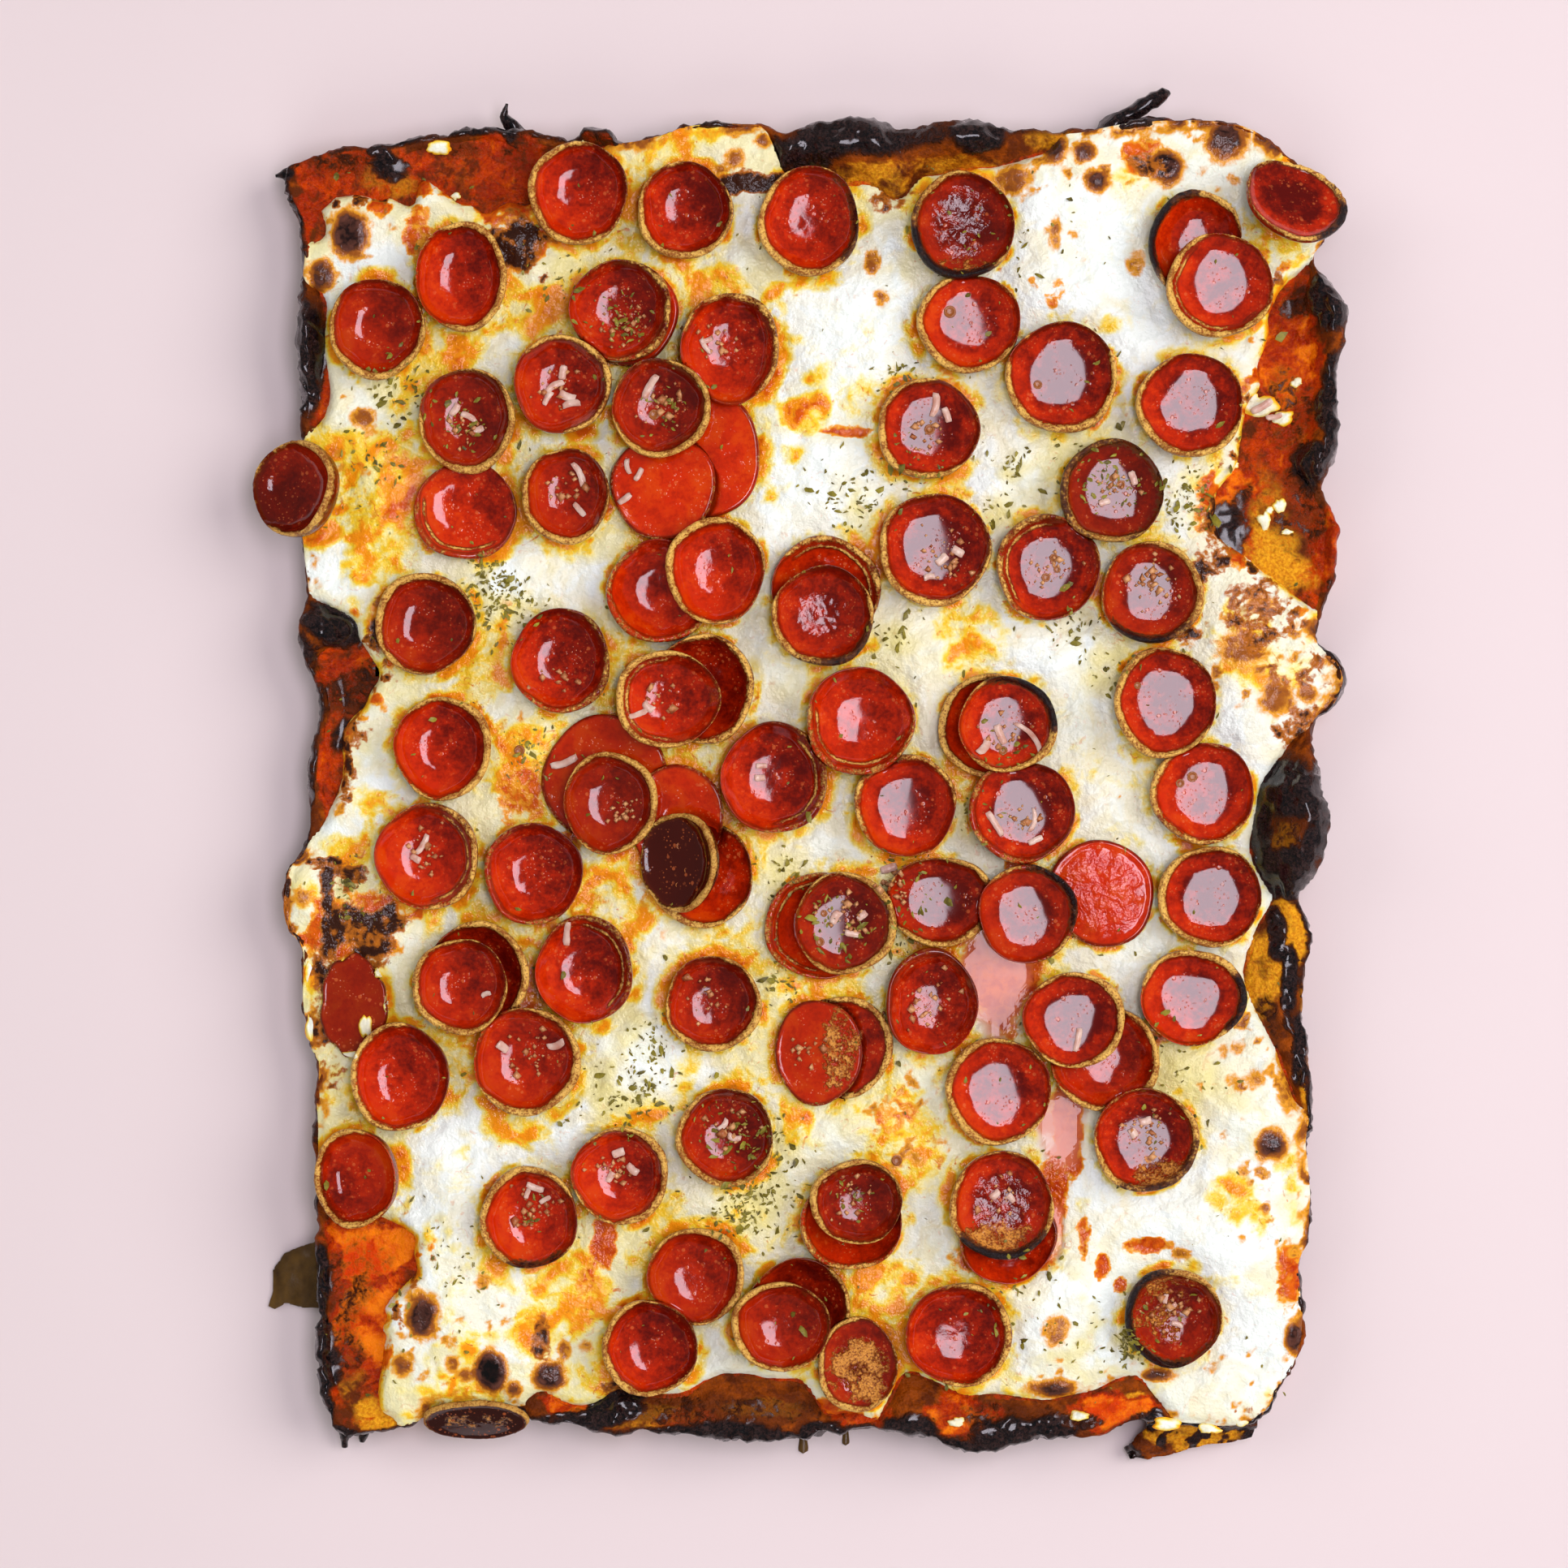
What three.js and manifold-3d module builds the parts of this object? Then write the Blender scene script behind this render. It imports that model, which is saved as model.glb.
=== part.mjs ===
// Pepperoni pizza baked in a rectangular pan: a thick crust with an uneven, charred rim, a layer
// of tomato sauce, a sheet of melted cheese and some ninety curled slices of pepperoni.
// Millimetres, +Z up, origin at the middle of the underside, +Y along the longer side.
import * as THREE from "three";
import { mergeVertices } from "three/addons/utils/BufferGeometryUtils.js";
import Module from "manifold-3d";

const wasm = await Module();
wasm.setup();

// Places are read on a square grid laid over the pizza as seen from above: columns run to the
// right, rows run down the sheet, and one step of the grid is GRID millimetres.
const GRID = 0.24;
const MIDDLE_COLUMN = 994;
const MIDDLE_ROW = 954;

// Heights of the layers above the table.
const DOUGH_TOP = 14.0;
const SAUCE_THICKNESS = 1.0;
const CHEESE_SEAT = 18.0;
const LAYER_GAP = 0.3;
const SLICE_GAP = 0.5;
const SAUCE_BOTTOM = DOUGH_TOP + LAYER_GAP;
const SAUCE_TOP = SAUCE_BOTTOM + SAUCE_THICKNESS;
const CHEESE_BOTTOM = SAUCE_TOP + LAYER_GAP;
const SLICE_SEAT = CHEESE_SEAT + SLICE_GAP;
// How far the sauce's and the cheese's faces may be straightened where they are nearly flat.
const SHEET_TOLERANCE = 0.1;

// The crust's rim: its foot is drawn in a little, its belly stands out to the edge, and its inner
// lip ends just under the cheese.
const FOOT_INSET = 1.6;
const BELLY_HEIGHT = 6.5;
const LIP_HEIGHT = 17.0;
const WELL_CLEARANCE = 0.7;
const RIM_SECTION = [[0.0, 0.5], [0.4, 1.0], [1.0, 0.0]];

// The rim's directions all point at this block in the pizza's middle.
const CORE = { left: 560, right: 1440, top: 345, bottom: 1570 };

// Places round the edge, clockwise from the corner at the top left: column, row, width of the
// bare rim in grid steps, height of the rim's crest in millimetres, and width of the strip of
// bare sauce inside it in grid steps.
const EDGE = [
  [350, 206, 22, 16.5, 50], [378, 194, 20, 17.5, 54], [415, 181, 18, 18, 68], [457, 179, 28, 18.5, 60],
  [500, 171, 16, 18, 44], [545, 164, 12, 18, 66], [585, 157, 12, 18.5, 90], [620, 157, 14, 18.5, 78],
  [655, 161, 12, 17.5, 70], [688, 168, 12, 17, 30], [712, 169, 12, 17.5, 8], [722, 158, 20, 21, 4],
  [750, 160, 18, 21, 4], [760, 173, 10, 18, 3], [800, 168, 8, 18, 3], [850, 152, 10, 19, 3],
  [890, 150, 10, 19, 3], [940, 152, 9, 18.5, 3], [968, 163, 50, 20, 3], [1000, 155, 50, 22, 3],
  [1035, 146, 76, 24, 3], [1075, 146, 80, 25, 3], [1108, 156, 86, 22, 3], [1135, 152, 62, 23, 3],
  [1160, 148, 62, 25, 3], [1200, 149, 55, 25, 3], [1232, 158, 42, 21, 3], [1270, 160, 28, 19.5, 3],
  [1310, 160, 16, 19, 3], [1352, 156, 12, 19, 3], [1395, 149, 9, 19, 3], [1450, 146, 8, 18.5, 3],
  [1505, 148, 8, 19, 3], [1545, 158, 8, 18.5, 3], [1575, 180, 8, 18, 3], [1605, 207, 8, 17.3, 3],
  [1628, 235, 8, 17, 3], [1638, 263, 8, 17, 3], [1634, 292, 8, 17, 3], [1622, 313, 10, 18, 3],
  [1627, 335, 12, 21, 14], [1650, 358, 40, 24, 35], [1661, 386, 50, 26, 46], [1656, 418, 42, 24, 52],
  [1648, 445, 30, 21.5, 70], [1650, 480, 30, 22, 78], [1648, 512, 34, 23, 75], [1650, 545, 45, 25, 72],
  [1640, 577, 44, 24, 78], [1631, 603, 12, 18, 116], [1648, 640, 14, 19, 132], [1649, 665, 14, 19.5, 128],
  [1645, 708, 14, 18.5, 68], [1634, 745, 10, 18, 16], [1625, 770, 8, 17.5, 4], [1626, 793, 8, 17.5, 3],
  [1650, 815, 10, 20, 3], [1657, 842, 10, 20.5, 3], [1644, 870, 12, 19.5, 3], [1624, 885, 12, 18.5, 3],
  [1618, 906, 18, 19, 3], [1620, 932, 40, 23, 3], [1629, 962, 68, 28, 3], [1636, 1000, 84, 30, 3],
  [1634, 1040, 90, 30, 3], [1622, 1076, 66, 27, 3], [1601, 1105, 28, 20, 3], [1612, 1132, 54, 19, 3],
  [1616, 1163, 70, 19.5, 3], [1607, 1198, 70, 20, 3], [1607, 1238, 60, 20, 3], [1612, 1278, 42, 20, 3],
  [1615, 1325, 28, 19.5, 3], [1618, 1380, 14, 19, 3], [1612, 1410, 10, 18.5, 3], [1617, 1480, 8, 18, 3],
  [1613, 1530, 8, 18.5, 3], [1602, 1562, 8, 18, 3], [1609, 1635, 8, 18, 3], [1598, 1680, 8, 17.5, 3],
  [1578, 1712, 8, 17, 3], [1560, 1745, 8, 17, 3], [1530, 1760, 10, 17, 3], [1480, 1760, 12, 17, 3],
  [1435, 1756, 20, 17.5, 3], [1405, 1749, 48, 18, 3], [1375, 1762, 58, 18.5, 3], [1335, 1773, 50, 19.5, 3],
  [1285, 1771, 42, 18.5, 3], [1240, 1785, 60, 20, 3], [1212, 1790, 68, 20.5, 3], [1185, 1787, 64, 20, 3],
  [1150, 1775, 72, 20, 3], [1115, 1767, 72, 20, 3], [1090, 1762, 20, 18, 3], [1056, 1764, 20, 17, 3],
  [1018, 1768, 22, 18, 3], [988, 1775, 70, 20, 3], [945, 1777, 76, 20.5, 3], [900, 1775, 80, 20.5, 3],
  [868, 1773, 68, 20, 3], [842, 1770, 48, 19, 3], [800, 1766, 44, 18.5, 3], [762, 1768, 50, 21, 3],
  [735, 1765, 32, 19.5, 3], [700, 1757, 24, 18.5, 3], [672, 1755, 36, 19, 3], [652, 1752, 26, 18, 3],
  [640, 1730, 8, 17, 3], [586, 1724, 8, 17, 3], [532, 1730, 8, 17, 3], [520, 1752, 12, 17.5, 3],
  [492, 1763, 16, 18, 3], [462, 1768, 22, 18.5, 8], [430, 1770, 26, 18.5, 44], [405, 1754, 28, 18.5, 72],
  [396, 1720, 22, 19, 84], [391, 1685, 18, 19, 88], [389, 1650, 16, 18.5, 84], [392, 1610, 12, 18.5, 90],
  [390, 1570, 14, 18.5, 104], [386, 1537, 20, 19, 105], [391, 1512, 18, 18.5, 92], [389, 1488, 12, 17.5, 40],
  [388, 1450, 9, 17, 3], [387, 1400, 11, 17.5, 3], [388, 1350, 13, 18.5, 3], [390, 1312, 12, 18.5, 3],
  [381, 1290, 8, 18, 3], [371, 1240, 8, 18, 3], [371, 1172, 8, 18.5, 3], [353, 1144, 8, 19.5, 3],
  [347, 1107, 8, 20, 3], [354, 1072, 8, 19.5, 3], [375, 1042, 14, 18.5, 3], [377, 1000, 22, 18.5, 4],
  [381, 950, 16, 18, 25], [387, 905, 12, 18, 24], [394, 869, 10, 18, 48], [385, 838, 14, 18.5, 68],
  [373, 809, 16, 19.5, 66], [366, 786, 58, 21, 18], [368, 764, 58, 21, 14], [377, 744, 18, 18.5, 8],
  [375, 705, 8, 18, 3], [370, 668, 8, 17.5, 3], [363, 630, 8, 16.5, 3], [363, 580, 8, 16.5, 3],
  [370, 545, 12, 18, 3], [368, 512, 24, 19, 5], [371, 485, 22, 19, 12], [367, 450, 30, 21.5, 3],
  [363, 408, 36, 23, 3], [368, 370, 28, 22, 3], [371, 338, 12, 19, 4], [370, 300, 14, 18.5, 10],
  [365, 266, 22, 18, 12], [352, 235, 24, 17.5, 26],
];

// Charred wisps and drips that stand out from the rim, each a row of column, row, height of its
// middle and radius in millimetres, from its root to its tip.
const WISPS = {
  corner: [[380, 214, 10, 3.6], [352, 210, 9.5, 2.2], [335, 211, 9, 0.6]],
  horn: [[638, 170, 9.5, 3.4], [630, 153, 11, 2.2], [619, 138, 12, 1.3], [623, 124, 13, 0.4]],
  stick: [[1364, 166, 8.5, 4.4], [1376, 148, 10, 3.6], [1394, 136, 11, 2.2], [1418, 122, 12, 2.4],
    [1438, 112, 12, 2.0]],
  left_drip: [[424, 1752, 6, 2.6], [419, 1776, 4, 1.6], [418, 1792, 3, 0.8]],
  right_drip: [[446, 1752, 6, 2.6], [443, 1774, 4.5, 1.8], [440, 1785, 4, 0.8]],
};
const WISP_SIDES = 6;

// The ragged flap of crust that hangs off the lower right corner, and the thin baked flake at the
// foot of the left side: outlines in columns and rows, clockwise, with the height of the top.
const FLAP = [[1390, 1795, 5], [1402, 1782, 7], [1416, 1767, 9], [1419, 1747, 12], [1438, 1737, 14],
  [1480, 1740, 14], [1530, 1745, 14], [1556, 1748, 12], [1547, 1776, 9], [1524, 1785, 7],
  [1490, 1788, 7], [1458, 1797, 6], [1420, 1806, 5], [1396, 1806, 4]];
const FLAP_UNDERSIDE = 1.2;
const FLAP_BULGE = 1.5;
const FLAKE = [[323, 1618, 1.6], [329, 1600, 2.2], [329, 1572, 2.2], [343, 1552, 2.4], [366, 1542, 3],
  [402, 1530, 5], [404, 1618, 5], [366, 1619, 3], [345, 1613, 2.2], [330, 1621, 1.6]];

// Pepperoni. A slice has the radius of its rim across the sheet and down it, in grid steps.
const SLICE_SIDES = 11;
const SLICE_FIT = 0.985;
const SLICE_THICKNESS = 1.9;
const CUP_DEPTH = 8.2;
const SHALLOW_DEPTH = 5.0;
const FLAT_DEPTH = 2.6;
const CUP_BASE = 0.66;
const RIM_WAVE = 0.45;
const STACK_STEP = 2.3;

// One row per slice: node, column, row, radius across, radius down, and what sets it apart.
// up: steps it lies above the cheese. depth: how deep it is curled. turn: the direction of its
// first radius, anticlockwise from the sheet's right. tilt: how far that side is tipped down.
const SLICES = [
  ["a", 713, 240, 62, 65],
  ["h", 844, 262, 60, 61],
  ["b", 570, 343, 57, 69],
  ["c", 466, 407, 60, 63],
  ["de", 772, 388, 66, 64, { depth: FLAT_DEPTH }],
  ["de", 766, 385, 64, 64, { up: 0.8 }],
  ["de", 694, 476, 61, 62, { up: 1.1 }],
  ["fw", 574, 630, 65, 62, { depth: SHALLOW_DEPTH }],
  ["fw", 577, 520, 60, 66, { up: 0.6 }],
  ["g", 380, 606, 60, 61, { turn: 169, tilt: 32, up: -1.2 }],
  ["i", 997, 275, 63, 69],
  ["jk", 1193, 400, 65, 62],
  ["jk", 1185, 281, 65, 67, { up: 0.7 }],
  ["t", 1307, 467, 70, 70],
  ["lmop", 873, 560, 66, 80, { depth: FLAT_DEPTH }],
  ["lmop", 818, 600, 66, 66, { depth: FLAT_DEPTH, up: 0.5 }],
  ["lmop", 900, 431, 62, 70, { up: 0.6 }],
  ["lmop", 815, 505, 62, 62, { up: 1.3 }],
  ["ab", 812, 730, 65, 65],
  ["ab", 882, 704, 62, 67, { up: 1.0 }],
  ["n", 1143, 530, 64, 63],
  ["q", 1590, 258, 56, 66, { turn: 65, tilt: 30, up: 0.3, depth: SHALLOW_DEPTH }],
  ["rs", 1470, 300, 57, 66, { turn: -20 }],
  ["rs", 1500, 355, 67, 65, { up: 1.0 }],
  ["u", 1465, 501, 67, 65],
  ["vaf", 1290, 700, 65, 67],
  ["vaf", 1368, 607, 65, 65, { up: 0.4 }],
  ["x", 698, 612, 55, 60],
  ["y", 525, 769, 63, 64],
  ["z", 692, 815, 62, 66],
  ["aa", 547, 922, 61, 65],
  ["ad", 1014, 760, 64, 63, { depth: SHALLOW_DEPTH }],
  ["ad", 1017, 726, 69, 66, { up: 0.9 }],
  ["ae", 1151, 678, 70, 71],
  ["ag", 1418, 731, 64, 64],
  ["ahai", 1480, 977, 65, 64],
  ["ahai", 1433, 866, 64, 69, { up: 0.9 }],
  ["ajamn", 954, 959, 67, 70],
  ["ajamn", 1115, 992, 64, 64],
  ["ajamn", 1059, 889, 68, 68, { up: 0.5 }],
  ["ao", 1217, 895, 62, 66, { depth: SHALLOW_DEPTH }],
  ["ao", 1258, 1000, 67, 64],
  ["ao", 1240, 893, 62, 60, { up: 1.1 }],
  ["aq", 528, 1055, 65, 67],
  ["ar", 658, 1076, 62, 64],
  ["atw", 590, 1200, 64, 66],
  ["atw", 569, 1214, 60, 60, { up: 1.1 }],
  ["atw", 650, 1306, 67, 68, { up: 0.5 }],
  ["au", 721, 1194, 61, 68],
  ["avy", 437, 1240, 42, 65, { depth: SHALLOW_DEPTH }],
  ["avy", 494, 1326, 62, 68, { up: 0.5 }],
  ["ax", 447, 1449, 54, 62, { turn: 180, tilt: 14, up: 0.5 }],
  ["pile", 747, 960, 80, 80, { depth: FLAT_DEPTH }],
  ["pile", 834, 1010, 60, 70, { depth: FLAT_DEPTH, up: 0.3 }],
  ["pile", 864, 1078, 66, 66, { depth: SHALLOW_DEPTH }],
  ["pile", 753, 989, 59, 64, { up: 0.9 }],
  ["pile", 847, 1061, 56, 62, { turn: 180, tilt: 32, up: 0.7, depth: SHALLOW_DEPTH }],
  ["ak", 866, 849, 65, 69],
  ["ak", 823, 862, 66, 61, { up: 1.2 }],
  ["row", 1008, 1141, 67, 67, { depth: SHALLOW_DEPTH }],
  ["row", 1158, 1110, 69, 56],
  ["row", 1041, 1137, 64, 64, { up: 0.6 }],
  ["row", 1358, 1100, 64, 69, { depth: FLAT_DEPTH }],
  ["row", 1265, 1125, 62, 62, { up: 0.6 }],
  ["bd", 1147, 1234, 58, 67],
  ["bg", 1489, 1104, 65, 63],
  ["bh", 1468, 1228, 67, 60],
  ["bijk", 1361, 1304, 68, 66],
  ["bijk", 1322, 1255, 64, 60, { up: 1.0 }],
  ["bijk", 1410, 1403, 66, 65, { up: 0.6 }],
  ["bl", 1009, 1296, 55, 66, { depth: SHALLOW_DEPTH }],
  ["bl", 1037, 1289, 64, 64, { up: 0.8, depth: SHALLOW_DEPTH }],
  ["bm", 879, 1236, 60, 60],
  ["bn", 894, 1400, 61, 62],
  ["bo", 1229, 1343, 66, 67],
  ["bp", 1048, 1505, 64, 60],
  ["bp", 1055, 1478, 58, 53, { up: 1.1 }],
  ["bq", 1240, 1520, 62, 62, { depth: SHALLOW_DEPTH }],
  ["bq", 1233, 1483, 65, 68, { up: 0.9 }],
  ["brt", 858, 1570, 61, 61],
  ["brt", 801, 1658, 60, 60, { up: 0.8 }],
  ["bsu", 985, 1612, 65, 65],
  ["bsu", 962, 1631, 62, 56, { up: 1.1 }],
  ["bsu", 1056, 1680, 50, 60, { depth: SHALLOW_DEPTH, up: 0.6 }],
  ["bv", 1181, 1642, 67, 65],
  ["bw", 1444, 1621, 61, 62],
  ["bx", 653, 1499, 61, 64],
  ["bz", 765, 1447, 61, 61],
  ["by", 586, 1753, 40, 66, { turn: -90, tilt: 52, up: -2.2, depth: SHALLOW_DEPTH }],
];

// The melted cheese: a relief of low swells between the slices, with thicker mounds.
const CHEESE_CELL = 14;
const CHEESE_SWELL = 1.5;
const CHEESE_MARGIN = 12;
const MOUNDS = [
  { column: 372, row: 1110, radius: 9, height: 1.6 },
  { column: 450, row: 590, radius: 14, height: 1.2 },
  { column: 560, row: 1560, radius: 22, height: 1.8 },
  { column: 560, row: 1660, radius: 18, height: 1.6 },
  { column: 1320, row: 330, radius: 22, height: 1.6 },
  { column: 1300, row: 230, radius: 16, height: 1.4 },
  { column: 900, row: 190, radius: 14, height: 1.2 },
  { column: 1060, row: 390, radius: 18, height: 1.5 },
  { column: 1540, row: 850, radius: 16, height: 1.4 },
  { column: 1560, row: 1350, radius: 18, height: 1.6 },
  { column: 1520, row: 1520, radius: 20, height: 1.8 },
  { column: 1310, row: 1640, radius: 18, height: 1.5 },
  { column: 760, row: 1300, radius: 18, height: 1.4 },
];

const COLOURS = {
  crust: { color: 0x9a5a26, roughness: 0.85, metalness: 0 },
  sauce: { color: 0xb5330f, roughness: 0.45, metalness: 0 },
  cheese: { color: 0xefdfae, roughness: 0.5, metalness: 0 },
  pepperoni: { color: 0x9c1a10, roughness: 0.3, metalness: 0 },
};

function sheetX(column) {
  return (column - MIDDLE_COLUMN) * GRID;
}

function sheetY(row) {
  return (MIDDLE_ROW - row) * GRID;
}

function clamp(value, low, high) {
  return Math.min(Math.max(value, low), high);
}

// Smooth step from 0 at the first edge to 1 at the second.
function fade(from, to, value) {
  const t = clamp((value - from) / (to - from), 0, 1);
  return t * t * (3 - 2 * t);
}

// Joins rings of equal length by bands of quads and closes both ends. The first ring is the
// bottom, seen anticlockwise from above, or from the end when the rings follow a path.
function loft(rings, capEnd) {
  const count = rings[0].length;
  const positions = rings.flat().flatMap((p) => [p.x, p.y, p.z]);
  const index = [];
  for (let k = 0; k + 1 < rings.length; k += 1) {
    for (let i = 0; i < count; i += 1) {
      const j = (i + 1) % count;
      const a = k * count;
      const b = a + count;
      index.push(a + i, a + j, b + j, a + i, b + j, b + i);
    }
  }
  const last = (rings.length - 1) * count;
  capEnd(rings[0]).forEach(([a, b, c]) => index.push(a, c, b));
  capEnd(rings[rings.length - 1]).forEach(([a, b, c]) => index.push(last + a, last + b, last + c));
  const geometry = new THREE.BufferGeometry();
  geometry.setAttribute("position", new THREE.Float32BufferAttribute(positions, 3));
  geometry.setIndex(index);
  return geometry;
}

function fanCap(ring) {
  return ring.slice(2).map((_, i) => [0, i + 1, i + 2]);
}

function flatCap(ring) {
  const contour = ring.map((p) => new THREE.Vector2(p.x, p.y));
  return THREE.ShapeUtils.triangulateShape(contour, []);
}

function toSolid(geometry) {
  const bare = geometry.clone();
  bare.deleteAttribute("normal");
  bare.deleteAttribute("uv");
  const merged = mergeVertices(bare, 1e-4);
  return new wasm.Manifold(new wasm.Mesh({
    numProp: 3,
    vertProperties: new Float32Array(merged.attributes.position.array),
    triVerts: new Uint32Array(merged.index.array),
  }));
}

function toGeometry(solid) {
  const mesh = solid.getMesh();
  const geometry = new THREE.BufferGeometry();
  geometry.setAttribute("position", new THREE.Float32BufferAttribute(mesh.vertProperties, 3));
  geometry.setIndex(new THREE.Uint32BufferAttribute(mesh.triVerts, 1));
  geometry.computeVertexNormals();
  return geometry;
}

function join(geometries) {
  return toGeometry(geometries.map(toSolid).reduce((whole, next) => whole.add(next)));
}

// A place on the edge with its direction into the pizza and the measures read there. Anticlockwise.
const STATIONS = EDGE.map(([column, row, rim, crest, bare]) => {
  const toCore = new THREE.Vector2(
    clamp(column, CORE.left, CORE.right) - column,
    row - clamp(row, CORE.top, CORE.bottom),
  ).normalize();
  return {
    edge: new THREE.Vector2(sheetX(column), sheetY(row)),
    inward: toCore,
    rim: rim * GRID,
    crest,
    bare: bare * GRID,
  };
}).reverse();

// The ring of points that lie a given way in from the edge, at a given height.
function ringAt(inset, height) {
  return STATIONS.map((station) => {
    const p = station.edge.clone().addScaledVector(station.inward, inset(station));
    return new THREE.Vector3(p.x, p.y, height(station));
  });
}

function crustBody() {
  const rimRings = RIM_SECTION.map(([across, share]) => ringAt(
    (s) => s.rim * across,
    (s) => LIP_HEIGHT + (s.crest - LIP_HEIGHT) * share,
  ));
  return loft([
    ringAt(() => FOOT_INSET, () => 0),
    ringAt(() => 0, () => BELLY_HEIGHT),
    ...rimRings,
    ringAt((s) => s.rim, () => DOUGH_TOP),
  ], flatCap);
}

// A tapering finger of dough along a path of middles and radii.
function wisp(path) {
  const points = path.map(([column, row, z]) => new THREE.Vector3(sheetX(column), sheetY(row), z));
  const up = new THREE.Vector3(0, 0, 1);
  const rings = points.map((point, k) => {
    const before = points[Math.max(k - 1, 0)];
    const after = points[Math.min(k + 1, points.length - 1)];
    const along = after.clone().sub(before).normalize();
    const side = up.clone().cross(along).normalize();
    const over = along.clone().cross(side);
    const radius = path[k][3];
    return Array.from({ length: WISP_SIDES }, (_, i) => {
      const angle = (2 * Math.PI * i) / WISP_SIDES;
      return point.clone()
        .addScaledVector(side, radius * Math.cos(angle))
        .addScaledVector(over, radius * Math.sin(angle));
    });
  });
  return loft(rings, fanCap);
}

// A slab with a sloping top, from an outline whose third number is the height of the top there.
function slab(outline, underside, bulge) {
  const corners = outline.map(([column, row, z]) => new THREE.Vector3(sheetX(column), sheetY(row), z));
  corners.reverse();
  const middle = corners.reduce((sum, p) => sum.add(p), new THREE.Vector3()).divideScalar(corners.length);
  const bottom = corners.map((p) => new THREE.Vector3(p.x, p.y, underside));
  const shoulder = corners.map((p) => new THREE.Vector3(p.x, p.y, p.z - bulge));
  const top = corners.map((p) => new THREE.Vector3(p.x, p.y, p.z).lerp(middle.clone().setZ(p.z), 0.16));
  return loft([bottom, shoulder, top], flatCap);
}

function crust() {
  const wisps = Object.values(WISPS).map(wisp);
  const flap = slab(FLAP, FLAP_UNDERSIDE, FLAP_BULGE);
  const flake = slab(FLAKE, 0, 0.6);
  return join([crustBody(), flap, flake, ...wisps]);
}

function sauce() {
  const inset = (s) => s.rim + WELL_CLEARANCE;
  const sheet = loft([ringAt(inset, () => SAUCE_BOTTOM), ringAt(inset, () => SAUCE_TOP)], flatCap);
  return toGeometry(toSolid(sheet).simplify(SHEET_TOLERANCE));
}

// Height of the cheese: low under the slices, swelling between them, thin at its edge.
function cheeseHeight(x, y) {
  const swell = 0.55 + 0.25 * Math.sin(x / 13 + 0.7) * Math.cos(y / 17)
    + 0.2 * Math.sin((x + 1.4 * y) / 11 + 2.1);
  let lift = CHEESE_SWELL * swell;
  for (const mound of MOUNDS) {
    const away = Math.hypot(x - sheetX(mound.column), y - sheetY(mound.row)) / mound.radius;
    lift += mound.height * Math.exp(-away * away);
  }
  for (const [, column, row, across, down] of SLICES) {
    const u = (x - sheetX(column)) / (across * GRID);
    const v = (y - sheetY(row)) / (down * GRID);
    lift *= fade(1.05, 1.75, Math.hypot(u, v));
  }
  return CHEESE_SEAT + lift;
}

// A block with the cheese's relief on top, larger than the pizza on every side.
function cheeseBlock() {
  const box = new THREE.Box2().setFromPoints(STATIONS.map((s) => s.edge)).expandByScalar(CHEESE_MARGIN);
  const size = box.getSize(new THREE.Vector2());
  const columns = Math.round(size.x / CHEESE_CELL);
  const rows = Math.round(size.y / CHEESE_CELL);
  const block = new THREE.BoxGeometry(size.x, size.y, 1, columns, rows, 1);
  const middle = box.getCenter(new THREE.Vector2());
  const positions = block.attributes.position;
  for (let i = 0; i < positions.count; i += 1) {
    const x = positions.getX(i) + middle.x;
    const y = positions.getY(i) + middle.y;
    const z = positions.getZ(i) > 0 ? cheeseHeight(x, y) : CHEESE_BOTTOM;
    positions.setXYZ(i, x, y, z);
  }
  return block;
}

function cheese() {
  const inset = (s) => s.rim + s.bare;
  const outline = loft([ringAt(inset, () => 0), ringAt(inset, () => CHEESE_SEAT * 2)], flatCap);
  return toGeometry(toSolid(cheeseBlock()).intersect(toSolid(outline)).simplify(SHEET_TOLERANCE));
}

// One curled slice: a thin bowl with a wavy rim, turned in where it browned.
function sliceBowl([, column, row, across, down, traits = {}], number) {
  const { up = 0, depth = CUP_DEPTH, turn = 0, tilt = 0 } = traits;
  const turned = THREE.MathUtils.degToRad(turn);
  const tilted = THREE.MathUtils.degToRad(tilt);
  const a = across * GRID * SLICE_FIT;
  const b = down * GRID * SLICE_FIT;
  const wall = SLICE_THICKNESS;
  const flat = depth <= FLAT_DEPTH;
  const wave = flat ? 0 : RIM_WAVE;
  const profile = flat
    ? [[0.96, 0, 0, 0], [1, 0, 0, 1]]
    : [[CUP_BASE, 0, 0, 0], [1, 0, 0, 1], [1, wall, 0, 1], [CUP_BASE, wall * 0.3, wall, 0]];
  const place = new THREE.Matrix4()
    .makeTranslation(sheetX(column), sheetY(row), SLICE_SEAT + up * STACK_STEP)
    .multiply(new THREE.Matrix4().makeRotationZ(turned))
    .multiply(new THREE.Matrix4().makeTranslation(0, 0, a * CUP_BASE * Math.sin(tilted)))
    .multiply(new THREE.Matrix4().makeRotationY(tilted));
  const rings = profile.map(([share, inset, lift, rise]) => (
    Array.from({ length: SLICE_SIDES }, (_, i) => {
      const angle = (2 * Math.PI * (i + 0.5)) / SLICE_SIDES;
      const curl = Math.sin(2 * angle + number * 1.7) + 0.7 * Math.sin(3 * angle + number * 2.9);
      const x = (a * share - inset) * Math.cos(angle);
      const y = (b * share - inset) * Math.sin(angle);
      const z = lift + rise * (depth + wave * curl);
      return new THREE.Vector3(x, y, z).applyMatrix4(place);
    })
  ));
  return loft(rings, fanCap);
}

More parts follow.
